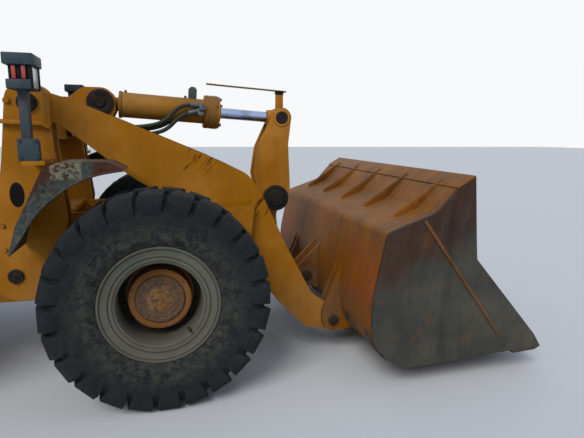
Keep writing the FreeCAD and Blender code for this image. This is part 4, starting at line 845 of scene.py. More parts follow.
clear_lens = lens("clear_lamp_lens", (0.55, 0.56, 0.55, 1))
red_lens = lens("red_lamp_lens", (0.42, 0.02, 0.012, 1))
amber_lens = lens("amber_lamp_lens", (0.6, 0.17, 0.01, 1))
twins("lamp_side_strips", [
    block((lamp_back + along, lamp_out - 0.012, tray_high + 0.003), (lamp_back + along + 0.02, lamp_out - 0.002,
                                                                    hood_low - 0.002), 0.003)
    for along in (0.026, 0.074)], red_lens, "front", "glass", "lamp_posts")
twins("head_lamp_lenses", [
    block((lamp_front - 0.01, post_y - 0.068, tray_low + 0.01), (lamp_front - 0.002, post_y + 0.068,
                                                                  hood_low - 0.002), 0.004),
], clear_lens, "front", "glass", "lamp_posts")


# Boom: two arms flame-cut from thick plate and welded to a cross tube. The near edges
# are rubbed, the shoulder is scored by falling loads, and the pins' bosses are greasy.

def scored_colour(tree, paint):
    """Enamel with a patch of slanting dark score marks on the arm's back."""
    point = place_in(tree)
    marks = grain(stretched(point, (8, 1, 62), (0, math.radians(-55), 0)), 1, 3, 0.55)
    flat = put(tree, "VectorMath", {0: point, 1: (1, 0, 1)}, operation="MULTIPLY").outputs[0]
    patch = 0.0
    for centre, reach in ((at(0.31, 0, 1.49), 0.24), (at(0.72, 0, 1.16), 0.15)):
        away = put(tree, "VectorMath", {0: flat, 1: centre}, operation="DISTANCE").outputs["Value"]
        patch = sums("MAXIMUM", step(away, reach, reach * 0.3), patch)
    scored = step(times(marks, put(tree, "MapRange", {
        "Value": patch, "To Min": 0.6, "To Max": 1.0}).outputs[0]), 0.535, 0.57)
    return mixed(times(scored, 0.9), paint, (0.07, 0.018, 0.008, 1))


boom_paint = enamel("boom_enamel", ochre, 0.26, 0.9, 0.35, 0.25,
                    paint_maker=scored_colour)
dress(boom_paint, "boom_arm_left", "boom_arm_right", "boom_cross_tube")
arm_face = 0.6


def weld(centre, radius, axis=(0, 1, 0), bead=0.006):
    """A round weld bead with its ripples, where a tube meets a plate."""
    begin()
    direction = Vector(axis).normalized()
    bpy.ops.mesh.primitive_torus_add(
        location=centre, rotation=direction.to_track_quat("Z", "Y").to_euler(), major_radius=radius,
        minor_radius=bead, major_segments=72, minor_segments=8)
    ring = bpy.context.object
    bpy.ops.object.transform_apply()
    mode("EDIT")
    bpy.ops.mesh.select_all(action="DESELECT")
    bpy.ops.mesh.select_mode(type="VERT")
    mode("OBJECT")
    for vertex in ring.data.vertices:
        vertex.select = (vertex.index // 8) % 2 == 0
    mode("EDIT")
    bpy.ops.transform.shrink_fatten(value=bead * 0.22)
    mode("OBJECT")
    return ring


twins("boom_welds_and_lines", [
    weld(at(0.68, 0.549, 1.06), 0.103),
    weld(at(0.715, 0.104, 1.08), 0.04, bead=0.004),
    turned([(0, 0.013), (0.003, 0.012)], at(-0.479, arm_face - 0.0005, 1.654),
          (0, 1, 0), 16),
    tube([at(-0.55, 0.545, 1.74), at(-0.2, 0.545, 1.62), at(0.25, 0.545, 1.42),
          at(0.62, 0.545, 1.24), at(0.8, 0.545, 1.02), at(0.93, 0.545, 0.78)], 0.005, 2),
    block(at(-0.22, 0.538, 1.6), at(-0.18, 0.551, 1.64), 0.002),
    block(at(0.6, 0.538, 1.225), at(0.64, 0.551, 1.265), 0.002),
], boom_paint, "boom", "yellow_paint")


# Bell crank and link: two cast cheeks turn on a drum-like hub. Keepers close the eyes,
# and a dark grease ring surrounds each pin.

crank_paint = enamel("crank_enamel", (0.385, 0.15, 0.0035, 1), 0.26, 0.95, 0.3, 0.2)
dress(crank_paint, "bell_crank", "link")
crank_x, crank_z = fore(0.914), 1.159
eye_x, eye_z = fore(0.978), 1.79
foot_x, foot_z = fore(0.92), 0.42
twins("crank_bosses", [
    lathe([(0, 0.05), (0, 0.066), (0.004, 0.068), (0.008, 0.065), (0.009, 0.056), (0.008, 0.0505)],
          (eye_x, 0.0895, eye_z), (0, 1, 0), 40),
    lathe([(0, 0.034), (0, 0.066), (0.006, 0.064), (0.006, 0.034)], (foot_x, 0.0895, foot_z), (0, 1, 0), 40),
], crank_paint, "crank", "crank_paint")
twins("crank_pin_ends", [
    turned([(0, 0.05), (0.006, 0.05), (0.009, 0.046), (0.009, 0.03), (0.006, 0.026)],
          (eye_x, 0.0895, eye_z), (0, 1, 0), 40),
    turned([(0, 0.033), (0.006, 0.033), (0.008, 0.03)], (foot_x, 0.0895, foot_z),
          (0, 1, 0), 32),
], pin_steel, "crank", "pin_steel")
twins("crank_drum_covers", keeper(crank_x, 0.1755, crank_z, 0.072, 6)
              + [lathe([(0, 0.078), (0, 0.1005), (0.004, 0.1005), (0.006, 0.096), (0.006, 0.08)],
                       (crank_x, 0.1755, crank_z), (0, 1, 0), 48)],
       pin_steel, "crank_carrier", "pin_steel")
twins("link_pin_keepers", keeper(fore(1.2), 0.102, 0.48, 0.04), pin_steel, "link_carrier",
       "pin_steel")


# Tilt cylinder: a welded barrel with a bolted gland and a hard-chromed rod. A thin level
# rod runs from a post on the rod's eye, over a guide on the barrel. Two hoses in worn
# grey-green sleeves leave flanged ports at the gland and hang down to the frame.

tilt_foot = at(-0.37, 0, 1.88)
tilt_line = (Vector((eye_x, 0, eye_z)) - tilt_foot).normalized()
tilt_length = (Vector((eye_x, 0, eye_z)) - tilt_foot).length
tilt_up = Vector((-tilt_line.z, 0, tilt_line.x))


def on_tilt(along, up=0.0, y=0.0):
    """A place beside the tilt cylinder's axis."""
    return tilt_foot + tilt_line * along + tilt_up * up + Vector((0, y, 0))


barrel_paint = enamel("barrel_enamel", (0.33, 0.15, 0.02, 1), 0.34, 0.7, 0.3, 0.3)
dress(barrel_paint, "tilt_barrel")
gland_paint = enamel("worn_gland", (0.215, 0.105, 0.018, 1), 0.5, 0.8, 0.4, 0.4)
single("tilt_gland_fittings", [
    lathe([(0.748, 0.094), (0.748, 0.1245), (0.77, 0.1265), (0.776, 0.1265), (0.778, 0.122), (0.786, 0.122),
           (0.788, 0.1265), (0.84, 0.1265), (0.859, 0.116), (0.862, 0.09), (0.872, 0.066), (0.872, 0.042)],
          tilt_foot, tilt_line, 64),
    hexagons(ring_places(8, 0.104, on_tilt(0.861), tilt_line, 0.3), 0.0105, 0.014, tilt_line),
    lathe([(0.122, 0.091), (0.122, 0.099), (0.14, 0.099), (0.146, 0.0925)], tilt_foot, tilt_line, 48),
    hexagons([on_tilt(0.165, 0.09), on_tilt(0.6, 0.09)], 0.01, 0.016, tilt_up),
], gland_paint, "tilt_barrel", "yellow_paint")
guide = [on_tilt(along, up) for along, up in ((0.622, 0.088), (0.684, 0.088), (0.684, 0.16), (0.668, 0.178),
                                              (0.638, 0.178), (0.622, 0.16))]
green_plate = enamel("grey_green_plate", (0.07, 0.098, 0.08, 1), 0.25, 0.5, 0.3, 0.3)
single("level_guide", [
    outline_plate([(corner.x, corner.z) for corner in guide], -0.024, -0.014, 0.002),
    outline_plate([(corner.x, corner.z) for corner in guide], 0.014, 0.024, 0.002),
    block(on_tilt(0.628, 0.086, -0.02), on_tilt(0.678, 0.102, 0.02), 0.003),
], green_plate, "tilt_barrel", "yellow_paint")
zinc = enamel("zinc_fittings", (0.13, 0.15, 0.165, 1), 0.3, 0.5, 0.2, 0.2, metal=0.6)
single("tilt_ports", [
    block(on_tilt(0.7, 0.0, -0.15), on_tilt(0.744, 0.046, -0.09), 0.006),
    block(on_tilt(0.69, -0.04, -0.14), on_tilt(0.734, -0.004, -0.084), 0.006),
    block(on_tilt(0.694, -0.016, 0.09), on_tilt(0.738, 0.03, 0.144), 0.006),
    hexagons([on_tilt(0.722, 0.036, -0.15), on_tilt(0.722, 0.01, -0.15), on_tilt(0.712, -0.03, -0.14)], 0.008,
             0.01, (0, -1, 0)),
    hexagons([on_tilt(0.728, 0.038, -0.12), on_tilt(0.728, 0.038, -0.104)], 0.007, 0.012, tilt_up),
], zinc, "tilt_barrel", "yellow_paint")

chrome, chrome_tree, chrome_surface = blank_material("hard_chrome")
chrome_place = place_in(chrome_tree)
scratch = grain(stretched(chrome_place, (3, 160, 160)), 1, 4)
tarnish = grain(chrome_place, 7, 6)
# the chrome's blue is a painted reflection of the sky, mixed with real tarnish
chrome_painted_sky_and_tarnish = mixed(step(tarnish, 0.5, 0.75), (0.34, 0.44, 0.66, 1),
                      (0.19, 0.23, 0.31, 1))
shaded(chrome_surface, {
    "Base Color": chrome_painted_sky_and_tarnish, "Metallic": 1.0, "Roughness": step(scratch, 0.1, 1.5)})
dress(chrome, "lift_rods", "steering_rod_left", "steering_rod_right")
single("tilt_rod_bar", [
    turned([(0.42, 0.041), (1.262, 0.041), (1.268, 0.0385), (1.275, 0.0385)],
          tilt_foot, tilt_line, 48)], chrome, "tilt_rod", "chrome", "tilt_rod")
single("tilt_rod_eye", [
    lathe([(-0.052, 0.036), (-0.052, 0.066), (-0.048, 0.07), (0.048, 0.07), (0.052, 0.066), (0.052, 0.036)],
          (eye_x, 0, eye_z), (0, 1, 0), 48),
    lathe([(tilt_length - 0.105, 0.0415), (tilt_length - 0.105, 0.056), (tilt_length - 0.06, 0.062),
           (tilt_length - 0.03, 0.05)], tilt_foot, tilt_line, 40),
    block((eye_x - 0.031, -0.01, eye_z + 0.06), (eye_x + 0.031, 0.01, eye_z + 0.19), 0.003),
], crank_paint, "tilt_rod", "chrome", "tilt_rod")
single("level_post_cap", [
    block((eye_x - 0.034, -0.014, eye_z + 0.186), (eye_x + 0.034, 0.014, eye_z + 0.218), 0.004),
    hexagons([(eye_x, -0.014, eye_z + 0.202)], 0.008, 0.008, (0, -1, 0)),
], black_trim, "tilt_rod", "chrome", "tilt_rod")
rusty_rod = enamel("rusty_rod", (0.17, 0.1, 0.05, 1), 0.3, 0.1, 0.2, 0.2)
single("level_rod", [
    tube([on_tilt(0.754, 0.212), on_tilt(0.95, 0.211), on_tilt(1.18, 0.213), on_tilt(1.395, 0.212)], 0.007, 3)],
    rusty_rod, "tilt_rod", "chrome", "tilt_rod")

hose_sleeve = enamel("grey_green_sleeve", (0.036, 0.042, 0.032, 1), 0.0, 0.0, 0.2, 0.6,
                     depth=0.006)
hose_radius = 0.015
hose_routes = {
    # each route starts at its port on the gland and ends at the frame's beam
    "tilt_hose_high": [(0.345, -0.122, 1.868), (0.255, -0.128, 1.876), (0.17, -0.13, 1.852),
                       (0.105, -0.132, 1.78), (0.03, -0.134, 1.728), (-0.11, -0.136, 1.706),
                       (-0.3, -0.138, 1.7), (-0.48, -0.14, 1.692), (-0.602, -0.14, 1.692)],
    "tilt_hose_low": [(0.33, -0.115, 1.832), (0.24, -0.116, 1.812), (0.165, -0.116, 1.77),
                      (0.1, -0.116, 1.7), (0.02, -0.118, 1.664), (-0.13, -0.12, 1.648),
                      (-0.32, -0.122, 1.652), (-0.48, -0.12, 1.66), (-0.602, -0.118, 1.66)],
    "tilt_hose_far": [(0.33, 0.118, 1.846), (0.24, 0.124, 1.842), (0.15, 0.13, 1.786),
                      (0.07, 0.132, 1.722), (-0.06, 0.134, 1.69), (-0.25, 0.136, 1.682),
                      (-0.44, 0.138, 1.68), (-0.602, 0.138, 1.68)],
}
for name, route in hose_routes.items():
    route = [at(x, y, z) for x, y, z in route]
    start_way = (route[1] - route[0]).normalized()
    end_way = (route[-2] - route[-1]).normalized()
    ferrule = [(0, 0.001), (0, 0.024), (0.016, 0.024), (0.018, 0.017), (0.03, 0.017), (0.032, 0.02),
               (0.084, 0.0195), (0.086, 0.015)]
    single(name + "_ferrule", [lathe(ferrule, route[0], start_way, 20)], zinc, "tilt_barrel", "yellow_paint")
    hose = joined(name, [
        tube(route, hose_radius, 4, 10),
        lathe(ferrule, route[-1], end_way, 20),
    ])
    hose.data.materials.append(hose_sleeve)
    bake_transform(hose)


# Lift cylinders: long welded barrels between each tower's plates, with screwed glands
# and a steel pipe along the top of each barrel.

dress(yellow_paint, "lift_barrels")
lift_foot = at(-0.86, 0.575, 0.78)
lift_eye = at(0.52, 0.575, 0.915)
lift_line = (lift_eye - lift_foot).normalized()
lift_up = Vector((-lift_line.z, 0, lift_line.x))
twins("lift_glands", [
    lathe([(1.175, 0.0555), (1.175, 0.0585), (1.205, 0.0585), (1.207, 0.057), (1.213, 0.057), (1.215, 0.0585),
           (1.25, 0.0585), (1.258, 0.054), (1.262, 0.044), (1.264, 0.0315)], lift_foot, lift_line, 40),
    tube([lift_foot + lift_line * along + lift_up * up for along, up in (
        (0.11, 0.05), (0.13, 0.068), (0.2, 0.07), (0.6, 0.07), (1.04, 0.07), (1.11, 0.068), (1.13, 0.05))],
        0.007, 2),
], yellow_paint, "lift_barrels", "yellow_paint")


# Bucket: a rolled shell with welded end plates, gussets over its back and a bolted-on
# edge of wear plate. The shell is brownish orange, and the end plates are scraped bare,
# red-brown near the top and grey below.

def shell_colour(tree, paint):
    """Orange that is scraped darker in runs down the shell."""
    point = place_in(tree)
    scrape = grain(stretched(point, (1.2, 26, 1.2)), 1, 6, 0.65)
    worn_off = mixed(times(step(scrape, 0.45, 0.72), 0.8), paint,
                     (0.085, 0.048, 0.026, 1))
    patches = step(grain(point, 3.2, 8, 0.7), 0.46, 0.64)
    darker = mixed(times(patches, 0.5), worn_off, (0.07, 0.036, 0.02, 1))
    side = sums("ABSOLUTE", part_of(point, "Y"))
    height = part_of(point, "Z")
    glow = times(step(side, 0.55, 0.95), step(height, 0.3, 0.62))
    glow = times(glow, step(height, 1.0, 0.8))
    return mixed(times(glow, 0.6), darker, (0.3, 0.07, 0.007, 1))


def end_colour(tree, paint):
    """Scraped plate: red-brown towards the top and the back, grey-green elsewhere."""
    point = place_in(tree)
    slope = put(tree, "VectorMath", {0: point, 1: (-0.5, 0, 0.86)}, operation="DOT_PRODUCT").outputs["Value"]
    mottle = grain(point, 4, 8, 0.7)
    wobble = put(tree, "Math", {0: mottle, 1: 0.55, 2: slope}, operation="MULTIPLY_ADD").outputs[0]
    brown = mixed(mottle, (0.028, 0.016, 0.012, 1), (0.075, 0.04, 0.026, 1))
    green = mixed(step(mottle, 0.35, 0.65), paint, (0.072, 0.068, 0.052, 1))
    zone = mixed(step(wobble, -0.36, -0.16), green, brown)
    lines = grain(stretched(point, (34, 1, 2.0), (0, math.radians(12), 0)), 1, 6, 0.6)
    return mixed(times(step(lines, 0.46, 0.8), 0.3), zone, (0.098, 0.092, 0.072, 1))


bucket_paint = enamel("bucket_orange", (0.255, 0.092, 0.009, 1), 0.44, 0.9, 0.6, 0.3,
                      paint_maker=shell_colour)
scraped_steel = enamel("scraped_steel", (0.046, 0.049, 0.044, 1), 0.34, 0.6, 0.5, 0.2,
                       paint_maker=end_colour)
edge_steel = enamel("wear_plate", (0.06, 0.05, 0.042, 1), 0.62, 0.5, 0.2, 0.3, metal=0.3)
dress(bucket_paint, "bucket_shell")
dress(scraped_steel, "bucket_ends")
hinge_x, hinge_z = fore(1.248), 0.278
bucket_half = 1.23
heel_centre = Vector((hinge_x + 0.3656, 0, hinge_z + 0.1849))
heel_radius = 0.3185
skid_wall = 0.013
brace_low, brace_high = Vector((hinge_x + 0.986, 0, hinge_z + 0.045)), Vector((hinge_x + 0.38, 0, hinge_z + 0.85))


def heel_arc(radius, turns):
    """Places around the heel's curve at a radius, for turns in degrees below level."""
    return [(heel_centre.x - radius * math.cos(math.radians(turn)),
             heel_centre.z - radius * math.sin(math.radians(turn))) for turn in turns]


skid_turns = (12, 24, 36, 48, 60, 72, 84)
skid = heel_arc(heel_radius, skid_turns) + heel_arc(heel_radius + skid_wall, skid_turns[::-1])
twins("bucket_skids", [outline_plate(skid, y - 0.035, y + 0.035, 0.002) for y in (0.33, 0.8, 1.14)],
       edge_steel, "bucket", "bucket_paint")
rib_outline = [(hinge_x + x, hinge_z + z) for x, z in (
    (0.285, 0.826), (0.298, 0.866), (0.64, 1.094), (0.662, 1.076), (0.607, 1.036), (0.478, 0.888))]
single("bucket_back_ribs", [outline_plate(rib_outline, 0.49 * i - 0.008, 0.49 * i + 0.008, 0.002)
                                   for i in (-2, -1, 0, 1, 2)], bucket_paint, "bucket", "bucket_paint")
brow = [(hinge_x + x, hinge_z + z) for x, z in ((0.606, 1.049), (0.602, 1.057), (0.727, 1.132), (0.735, 1.123))]
single("bucket_brow_strip", [outline_plate(brow, -bucket_half + 0.002, bucket_half - 0.002, 0.002)],
       bucket_paint, "bucket", "bucket_paint")
orange_rust = enamel("orange_rust_rib", (0.15, 0.066, 0.022, 1), 0.55, 0.8, 0.4, 0.2)
brace_way = (brace_high - brace_low).normalized()
brace_side = Vector((-brace_way.z, 0, brace_way.x)) * 0.01
brace_outline = [brace_low + brace_side, brace_high + brace_side, brace_high - brace_side, brace_low - brace_side]
twins("bucket_end_braces", [
    outline_plate([(corner.x, corner.z) for corner in brace_outline], bucket_half - 0.001, bucket_half + 0.0115,
                  0.003)], orange_rust, "bucket", "bucket_paint")
edge_x = fore(1.248 + 1.362 - 0.165)
edge_rise = 0.0364
edge_front, edge_level = hinge_x + 1.362, hinge_z - 0.0975
single("bucket_edge_plate", [
    outline_plate([(edge_front, edge_level), (edge_front - 0.23, edge_level - 0.23 * edge_rise),
                   (edge_front - 0.23, edge_level - 0.022 - 0.23 * edge_rise),
                   (edge_front - 0.045, edge_level - 0.022 - 0.045 * edge_rise)],
                  -bucket_half, bucket_half, 0.0015)], edge_steel, "bucket", "bucket_paint")
single("edge_bolts", [
    lathe([(0, 0.001), (0, 0.019), (0.003, 0.018), (0.005, 0.012), (0.006, 0.001)],
          (edge_x, -1.12 + 0.2036 * i, hinge_z - 0.097 - 0.165 * edge_rise + 0.0215), (0, 0, 1), 16)
    for i in range(12)], edge_steel, "bucket", "bucket_paint")
twins("bucket_pin_keepers", keeper(hinge_x, 0.644, hinge_z, 0.04), pin_steel, "bucket_carrier",
       "pin_steel")


# Rear frame and articulation: rails of plate joined by two clevises. The pins' heads are
# bolted, and four hoses cross the joint beside the propeller shaft.

dress(yellow_paint, "rear_frame", "steering_barrel_left", "steering_barrel_right")
pivot_x = fore(-1.375)
pin_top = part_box("articulation_pins")[1].z
single("articulation_bolts", [
    hexagons(ring_places(4, 0.04, (pivot_x, 0, pin_top), (0, 0, 1)), 0.009, 0.01, (0, 0, 1)),
    turned([(0, 0.022), (0.004, 0.02)], (pivot_x, 0, pin_top), (0, 0, 1), 20),
], pin_steel, "chassis", "pin_steel")
twins("rail_bolts", [
    hexagons([at(x, 0.415, z) for x in (-1.66, -1.74) for z in (0.6, 0.75, 0.98)]
             + [at(x, 0.415, 0.93) for x in (-2.46, -2.52, -3.06, -3.12)], 0.013, 0.013, (0, 1, 0)),
], yellow_paint, "chassis", "yellow_paint")
black_hose = enamel("black_hose", (0.01, 0.01, 0.011, 1), 0.0, 0.0, 0.2, 0.5)
collar = [(0, 0.001), (0, 0.021), (0.016, 0.021), (0.018, 0.016), (0.055, 0.016), (0.057, 0.013)]
for i, y in enumerate((-0.11, -0.04, 0.04, 0.11)):
    lift = 0.014 * (i % 2)
    route = [at(x, y * spread, z + lift) for x, spread, z in (
        (-1.786, 1.0, 0.862), (-1.69, 1.0, 0.88), (-1.56, 0.95, 0.925), (-1.375, 0.9, 0.935),
        (-1.22, 0.95, 0.905), (-1.11, 1.0, 0.86), (-1.029, 1.0, 0.846))]
    hose = joined("pivot_hose_%d" % (i + 1), [tube(route, 0.013, 3, 10), lathe(collar, route[0], (1, 0, 0), 16),
                                              lathe(collar, route[-1], (-1, 0, 0), 16)])
    hose.data.materials.append(black_hose)
    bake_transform(hose)


# Engine and transmission: dark castings. A rocker cover, a manifold, an air cleaner and
# the radiator's core stand above the block and show when the hood's doors are lifted.

cast_iron = enamel("dark_casting", (0.03, 0.029, 0.027, 1), 0.35, 0.3, 0.4, 0.7)
dress(cast_iron, "engine", "transmission")
engine_low, engine_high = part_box("engine")
engine_top = engine_high.z
single("engine_top_parts", [
    block((engine_low.x + 0.08, -0.1, engine_top - 0.002), (engine_high.x - 0.1, 0.12, engine_top + 0.085), 0.018,
          3),
    turned([(0, 0.085), (0.01, 0.092), (0.4, 0.092), (0.41, 0.085), (0.43, 0.06), (0.5, 0.058)],
           (engine_low.x + 0.2, -0.24, engine_top + 0.11), (1, 0, 0), 36),
    tube([(engine_low.x + 0.14, 0.22, engine_top + 0.03), (engine_low.x + 0.4, 0.22, engine_top + 0.045),
          (engine_high.x - 0.24, 0.22, engine_top + 0.045), (engine_high.x - 0.16, 0.22, engine_top + 0.1),
          at(-3.06, 0.21, engine_top + 0.22), at(-3.06, 0.21, 1.93)], 0.042, 4),
    turned([(-0.05, 0.06), (-0.02, 0.095), (0.02, 0.095), (0.05, 0.06)],
          (engine_high.x - 0.3, 0.25, engine_top + 0.08), (1, 0, 0), 32),
    hexagons([(engine_low.x + 0.14 + 0.14 * i, y, engine_top + 0.084) for i in range(5) for y in (-0.07, 0.09)],
             0.008, 0.01, (0, 0, 1)),
], cast_iron, "chassis", "cast_iron")
twins("engine_side_parts", [
    turned([(0, 0.05), (0.13, 0.05), (0.15, 0.03)],
          (engine_high.x - 0.3, 0.352, 1.24), (0, 0, 1), 28),
    block((engine_low.x + 0.1, 0.298, 1.3), (engine_high.x - 0.06, 0.312, 1.5), 0.006),
    hexagons([(engine_low.x + 0.15 + 0.18 * i, 0.312, z) for i in range(5) for z in (1.33, 1.47)], 0.009, 0.01,
             (0, 1, 0)),
], cast_iron, "chassis", "cast_iron")


# Counterweight: a thick casting with rounded corners, held by four big bolts. Tail lamps
# sit in its back, and a pin with a pull ring closes the hitch.

weight_paint = enamel("counterweight_enamel", ochre, 0.34, 0.85, 0.6, 0.45, depth=0.006)
dress(weight_paint, "counterweight")
weight_low, weight_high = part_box("counterweight")
single("counterweight_bolts", [
    hexagons([(weight_low.x + 0.27, y, weight_high.z) for y in (-0.8, -0.62, 0.62, 0.8)], 0.026, 0.024,
             (0, 0, 1)),
    lathe([(0, 0.02), (0, 0.034), (0.004, 0.036), (0.008, 0.034), (0.008, 0.02)],
          (weight_low.x + 0.07, 0, weight_high.z), (0, 0, 1), 28),
], weight_paint, "chassis", "cast_iron")
tail_low_z, tail_high_z = 0.9, 0.985
for name, near, far, lamp_lens in (("tail_lamp_red", 0.6, 0.69, red_lens),
                                   ("tail_lamp_amber", 0.694, 0.79, amber_lens)):
    twins(name, [block((weight_low.x - 0.022, near, tail_low_z), (weight_low.x + 0.002, far, tail_high_z), 0.006)],
          lamp_lens, "chassis", "glass")
twins("tail_lamp_bezels", [
    block((weight_low.x - 0.012, 0.59, tail_low_z - 0.01), (weight_low.x + 0.002, 0.8, tail_high_z + 0.01),
          0.004)], black_trim, "chassis", "black_trim")
twins("tail_reflectors", [
    turned([(0, 0.036), (0.005, 0.036), (0.008, 0.031), (0.006, 0.028)],
          (weight_low.x + 0.001, 0.52, 0.942), (-1, 0, 0), 28)], red_lens, "chassis", "glass")


# Hood: a folded sheet case with top-hinged side doors, pressed louvres, a lid over the
# filler, latches and lifting eyes. Slats close its rear end.

dress(yellow_paint, "hood", "hood_door_left", "hood_door_right")
grille_low, grille_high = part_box("radiator_grille")
slats = []
for row in range(17):
    z = grille_low.z + 0.062 + 0.043 * row
    slats.append(outline_plate([(grille_low.x + 0.004, z), (grille_high.x - 0.004, z + 0.018),
                                (grille_high.x - 0.004, z + 0.024), (grille_low.x + 0.004, z + 0.006)],
                               grille_low.y + 0.045, grille_high.y - 0.045, 0))
grille_rim = 0.05
single("radiator_grille_slats", slats + [
    block(grille_low, (grille_high.x, grille_low.y + grille_rim, grille_high.z), 0.004),
    block((grille_low.x, grille_high.y - grille_rim, grille_low.z), grille_high, 0.004),
    block((grille_low.x + 0.001, grille_low.y + 0.02, grille_low.z), (grille_high.x, grille_high.y - 0.02,
                                                                      grille_low.z + grille_rim), 0.004),
    block((grille_low.x + 0.001, grille_low.y + 0.02, grille_high.z - grille_rim),
          (grille_high.x, grille_high.y - 0.02, grille_high.z), 0.004),
    block((grille_low.x + 0.002, -0.02, grille_low.z + 0.02), (grille_high.x, 0.02, grille_high.z - 0.02), 0.003),
    hexagons([(grille_low.x, y, z) for y in (grille_low.y + 0.025, grille_high.y - 0.025)
              for z in (grille_low.z + 0.03, (grille_low.z + grille_high.z) / 2, grille_high.z - 0.03)], 0.011, 0.01,
             (-1, 0, 0)),
], cast_iron, "chassis", "cast_iron", "radiator_grille")
hood_side = 0.5
louvres = []
for column in range(4):
    for row in range(5):
        x = fore(-3.92) + 0.24 * column
        z = 1.175 + 0.042 * row
        louvres.append(outline_plate([(x, z), (x + 0.19, z), (x + 0.185, z + 0.02), (x + 0.005, z + 0.02)],
                                     hood_side - 0.001, hood_side + 0.009, 0.003))
twins("hood_louvres", louvres, yellow_paint, "chassis", "yellow_paint")
single("hood_lid", [
    block(at(-3.98, -0.3, 1.958), at(-3.42, 0.3, 1.968), 0.005),
    tube([at(-3.96, -0.05, 1.966), at(-3.965, -0.05, 1.992), at(-3.965, 0.05, 1.992), at(-3.96, 0.05, 1.966)],
         0.005, 2),
    hexagons([at(x, y, 1.959) for x in (-2.8, -4.1) for y in (-0.34, 0.34)], 0.014, 0.014, (0, 0, 1)),
] + [
    block(at(-3.4, y, 1.958), at(-3.37, y + 0.1, 1.978), 0.004) for y in (-0.24, 0.14)
], yellow_paint, "chassis", "yellow_paint")
single("radiator_core", [block(at(-4.185, -0.43, 1.18), at(-4.12, 0.43, 1.88), 0.01)],
       black_trim, "chassis", "cast_iron")
for side, name in ((1, "left"), (-1, "right")):
    latches = []
    for x in (fore(-3.86), fore(-3.04)):
        latches.append(turned([(0, 0.03), (0.004, 0.03), (0.006, 0.026), (0.004, 0.02)],
                              (x, side * hood_side, 1.5), (0, side, 0), 24))
        latches.append(block((x - 0.02, min(side * hood_side, side * 0.512), 1.494),
                             (x + 0.02, max(side * hood_side, side * 0.512), 1.506), 0.003))
    latches.append(tube([at(-3.54, side * 0.499, 1.52), at(-3.54, side * 0.53, 1.52),
                         at(-3.38, side * 0.53, 1.52), at(-3.38, side * 0.499, 1.52)], 0.006, 2))
    single("hood_latches_" + name, latches, black_trim, "hood_door_" + name, "black_trim")

stack_low, stack_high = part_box("hood_stacks")
stack_x = fore(-3.06)
sooty = enamel("sooty_pipe", (0.022, 0.02, 0.018, 1), 0.42, 0.4, 0.5, 0.3)
single("exhaust_stack", [
    lathe([(0, 0.08), (0.012, 0.08), (0.014, 0.06), (0.03, 0.052), (0.06, 0.046), (0.4, 0.046),
           (0.402, 0.048), (0.425, 0.048), (0.427, 0.044), (0.7, 0.044), (0.7, 0.04), (0.42, 0.04)],
          (stack_x, 0.21, stack_low.z), (0, 0, 1), 36),
    outline_plate([(stack_x - 0.048, stack_high.z - 0.056), (stack_x + 0.048, stack_high.z - 0.012),
                   (stack_x + 0.046, stack_high.z - 0.006), (stack_x - 0.05, stack_high.z - 0.05)],
                  0.164, 0.256, 0.002),
    block((stack_x - 0.064, 0.196, stack_high.z - 0.088), (stack_x - 0.044, 0.224, stack_high.z - 0.04), 0.003),
], sooty, "chassis", "black_trim", "hood_stacks")
single("air_intake", [
    lathe([(0, 0.088), (0.01, 0.088), (0.012, 0.064), (0.03, 0.058), (0.21, 0.058), (0.212, 0.064),
           (0.226, 0.064), (0.228, 0.058), (0.245, 0.06), (0.262, 0.105), (0.275, 0.122), (0.285, 0.1245),
           (0.3, 0.1245), (0.304, 0.119), (0.308, 0.1245), (0.33, 0.122), (0.345, 0.11), (0.38, 0.085),
           (0.388, 0.06), (0.392, 0.022), (0.398, 0.02), (0.399, 0.001)],
          (stack_x, -0.21, stack_low.z), (0, 0, 1), 48)], black_trim, "chassis", "black_trim", "hood_stacks")


# Tanks, ladders and rear fenders: welded boxes under the cab's sides, ladders with
# folded treads before them, and sheet fenders with a rolled edge and rubber flaps.

dress(yellow_paint, "tanks", "ladders", "rear_fenders")
tank_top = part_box("tanks")[1].z
twins("tank_fittings", [
    lathe([(0, 0.001), (0, 0.046), (0.018, 0.048), (0.022, 0.044), (0.024, 0.001)], at(-1.74, 0.66, tank_top),
          (0, 0, 1), 28),
    turned([(0, 0.03), (0.006, 0.03), (0.008, 0.026)], at(-1.72, 0.745, 0.72),
          (0, 1, 0), 20),
    tube([at(-1.93, 0.745, 0.76), at(-1.93, 0.758, 0.77), at(-1.93, 0.758, 1.06),
          at(-1.93, 0.745, 1.07)], 0.006, 2),
    ] + [
    block(at(x, 0.56, 0.5985), at(x + 0.03, 0.7475, 1.2425), 0.002) for x in (-1.7, -2.02)
], black_trim, "chassis", "black_trim")
tread_bumps = []
for tread_z, near, far in ((0.445, 0.85, 1.1), (0.755, 0.82, 1.06), (1.065, 0.79, 1.02)):
    for y in (near + 0.03, (near + far) / 2, far - 0.03):
        tread_bumps.append(block(at(-1.99, y - 0.006, tread_z - 0.001), at(-1.65, y + 0.006, tread_z + 0.006),
                                 0.002, 1))
twins("ladder_grips", tread_bumps, yellow_paint, "chassis", "yellow_paint")
fender_edge = [(rear_axle + x, 1.148, z) for x, z in (
    (0.652, 1.052), (0.645, 1.2), (0.638, 1.325), (0.6, 1.37), (0.5, 1.397), (0.0, 1.397), (-0.45, 1.397),
    (-0.56, 1.368), (-0.68, 1.255), (-0.788, 1.152))]
twins("fender_edges", [
    tube(fender_edge, 0.007, 2),
    hexagons([(rear_axle + x, 0.74, 1.401) for x in (-0.4, -0.1, 0.2, 0.45)], 0.01, 0.009, (0, 0, 1)),
], yellow_paint, "chassis", "yellow_paint")
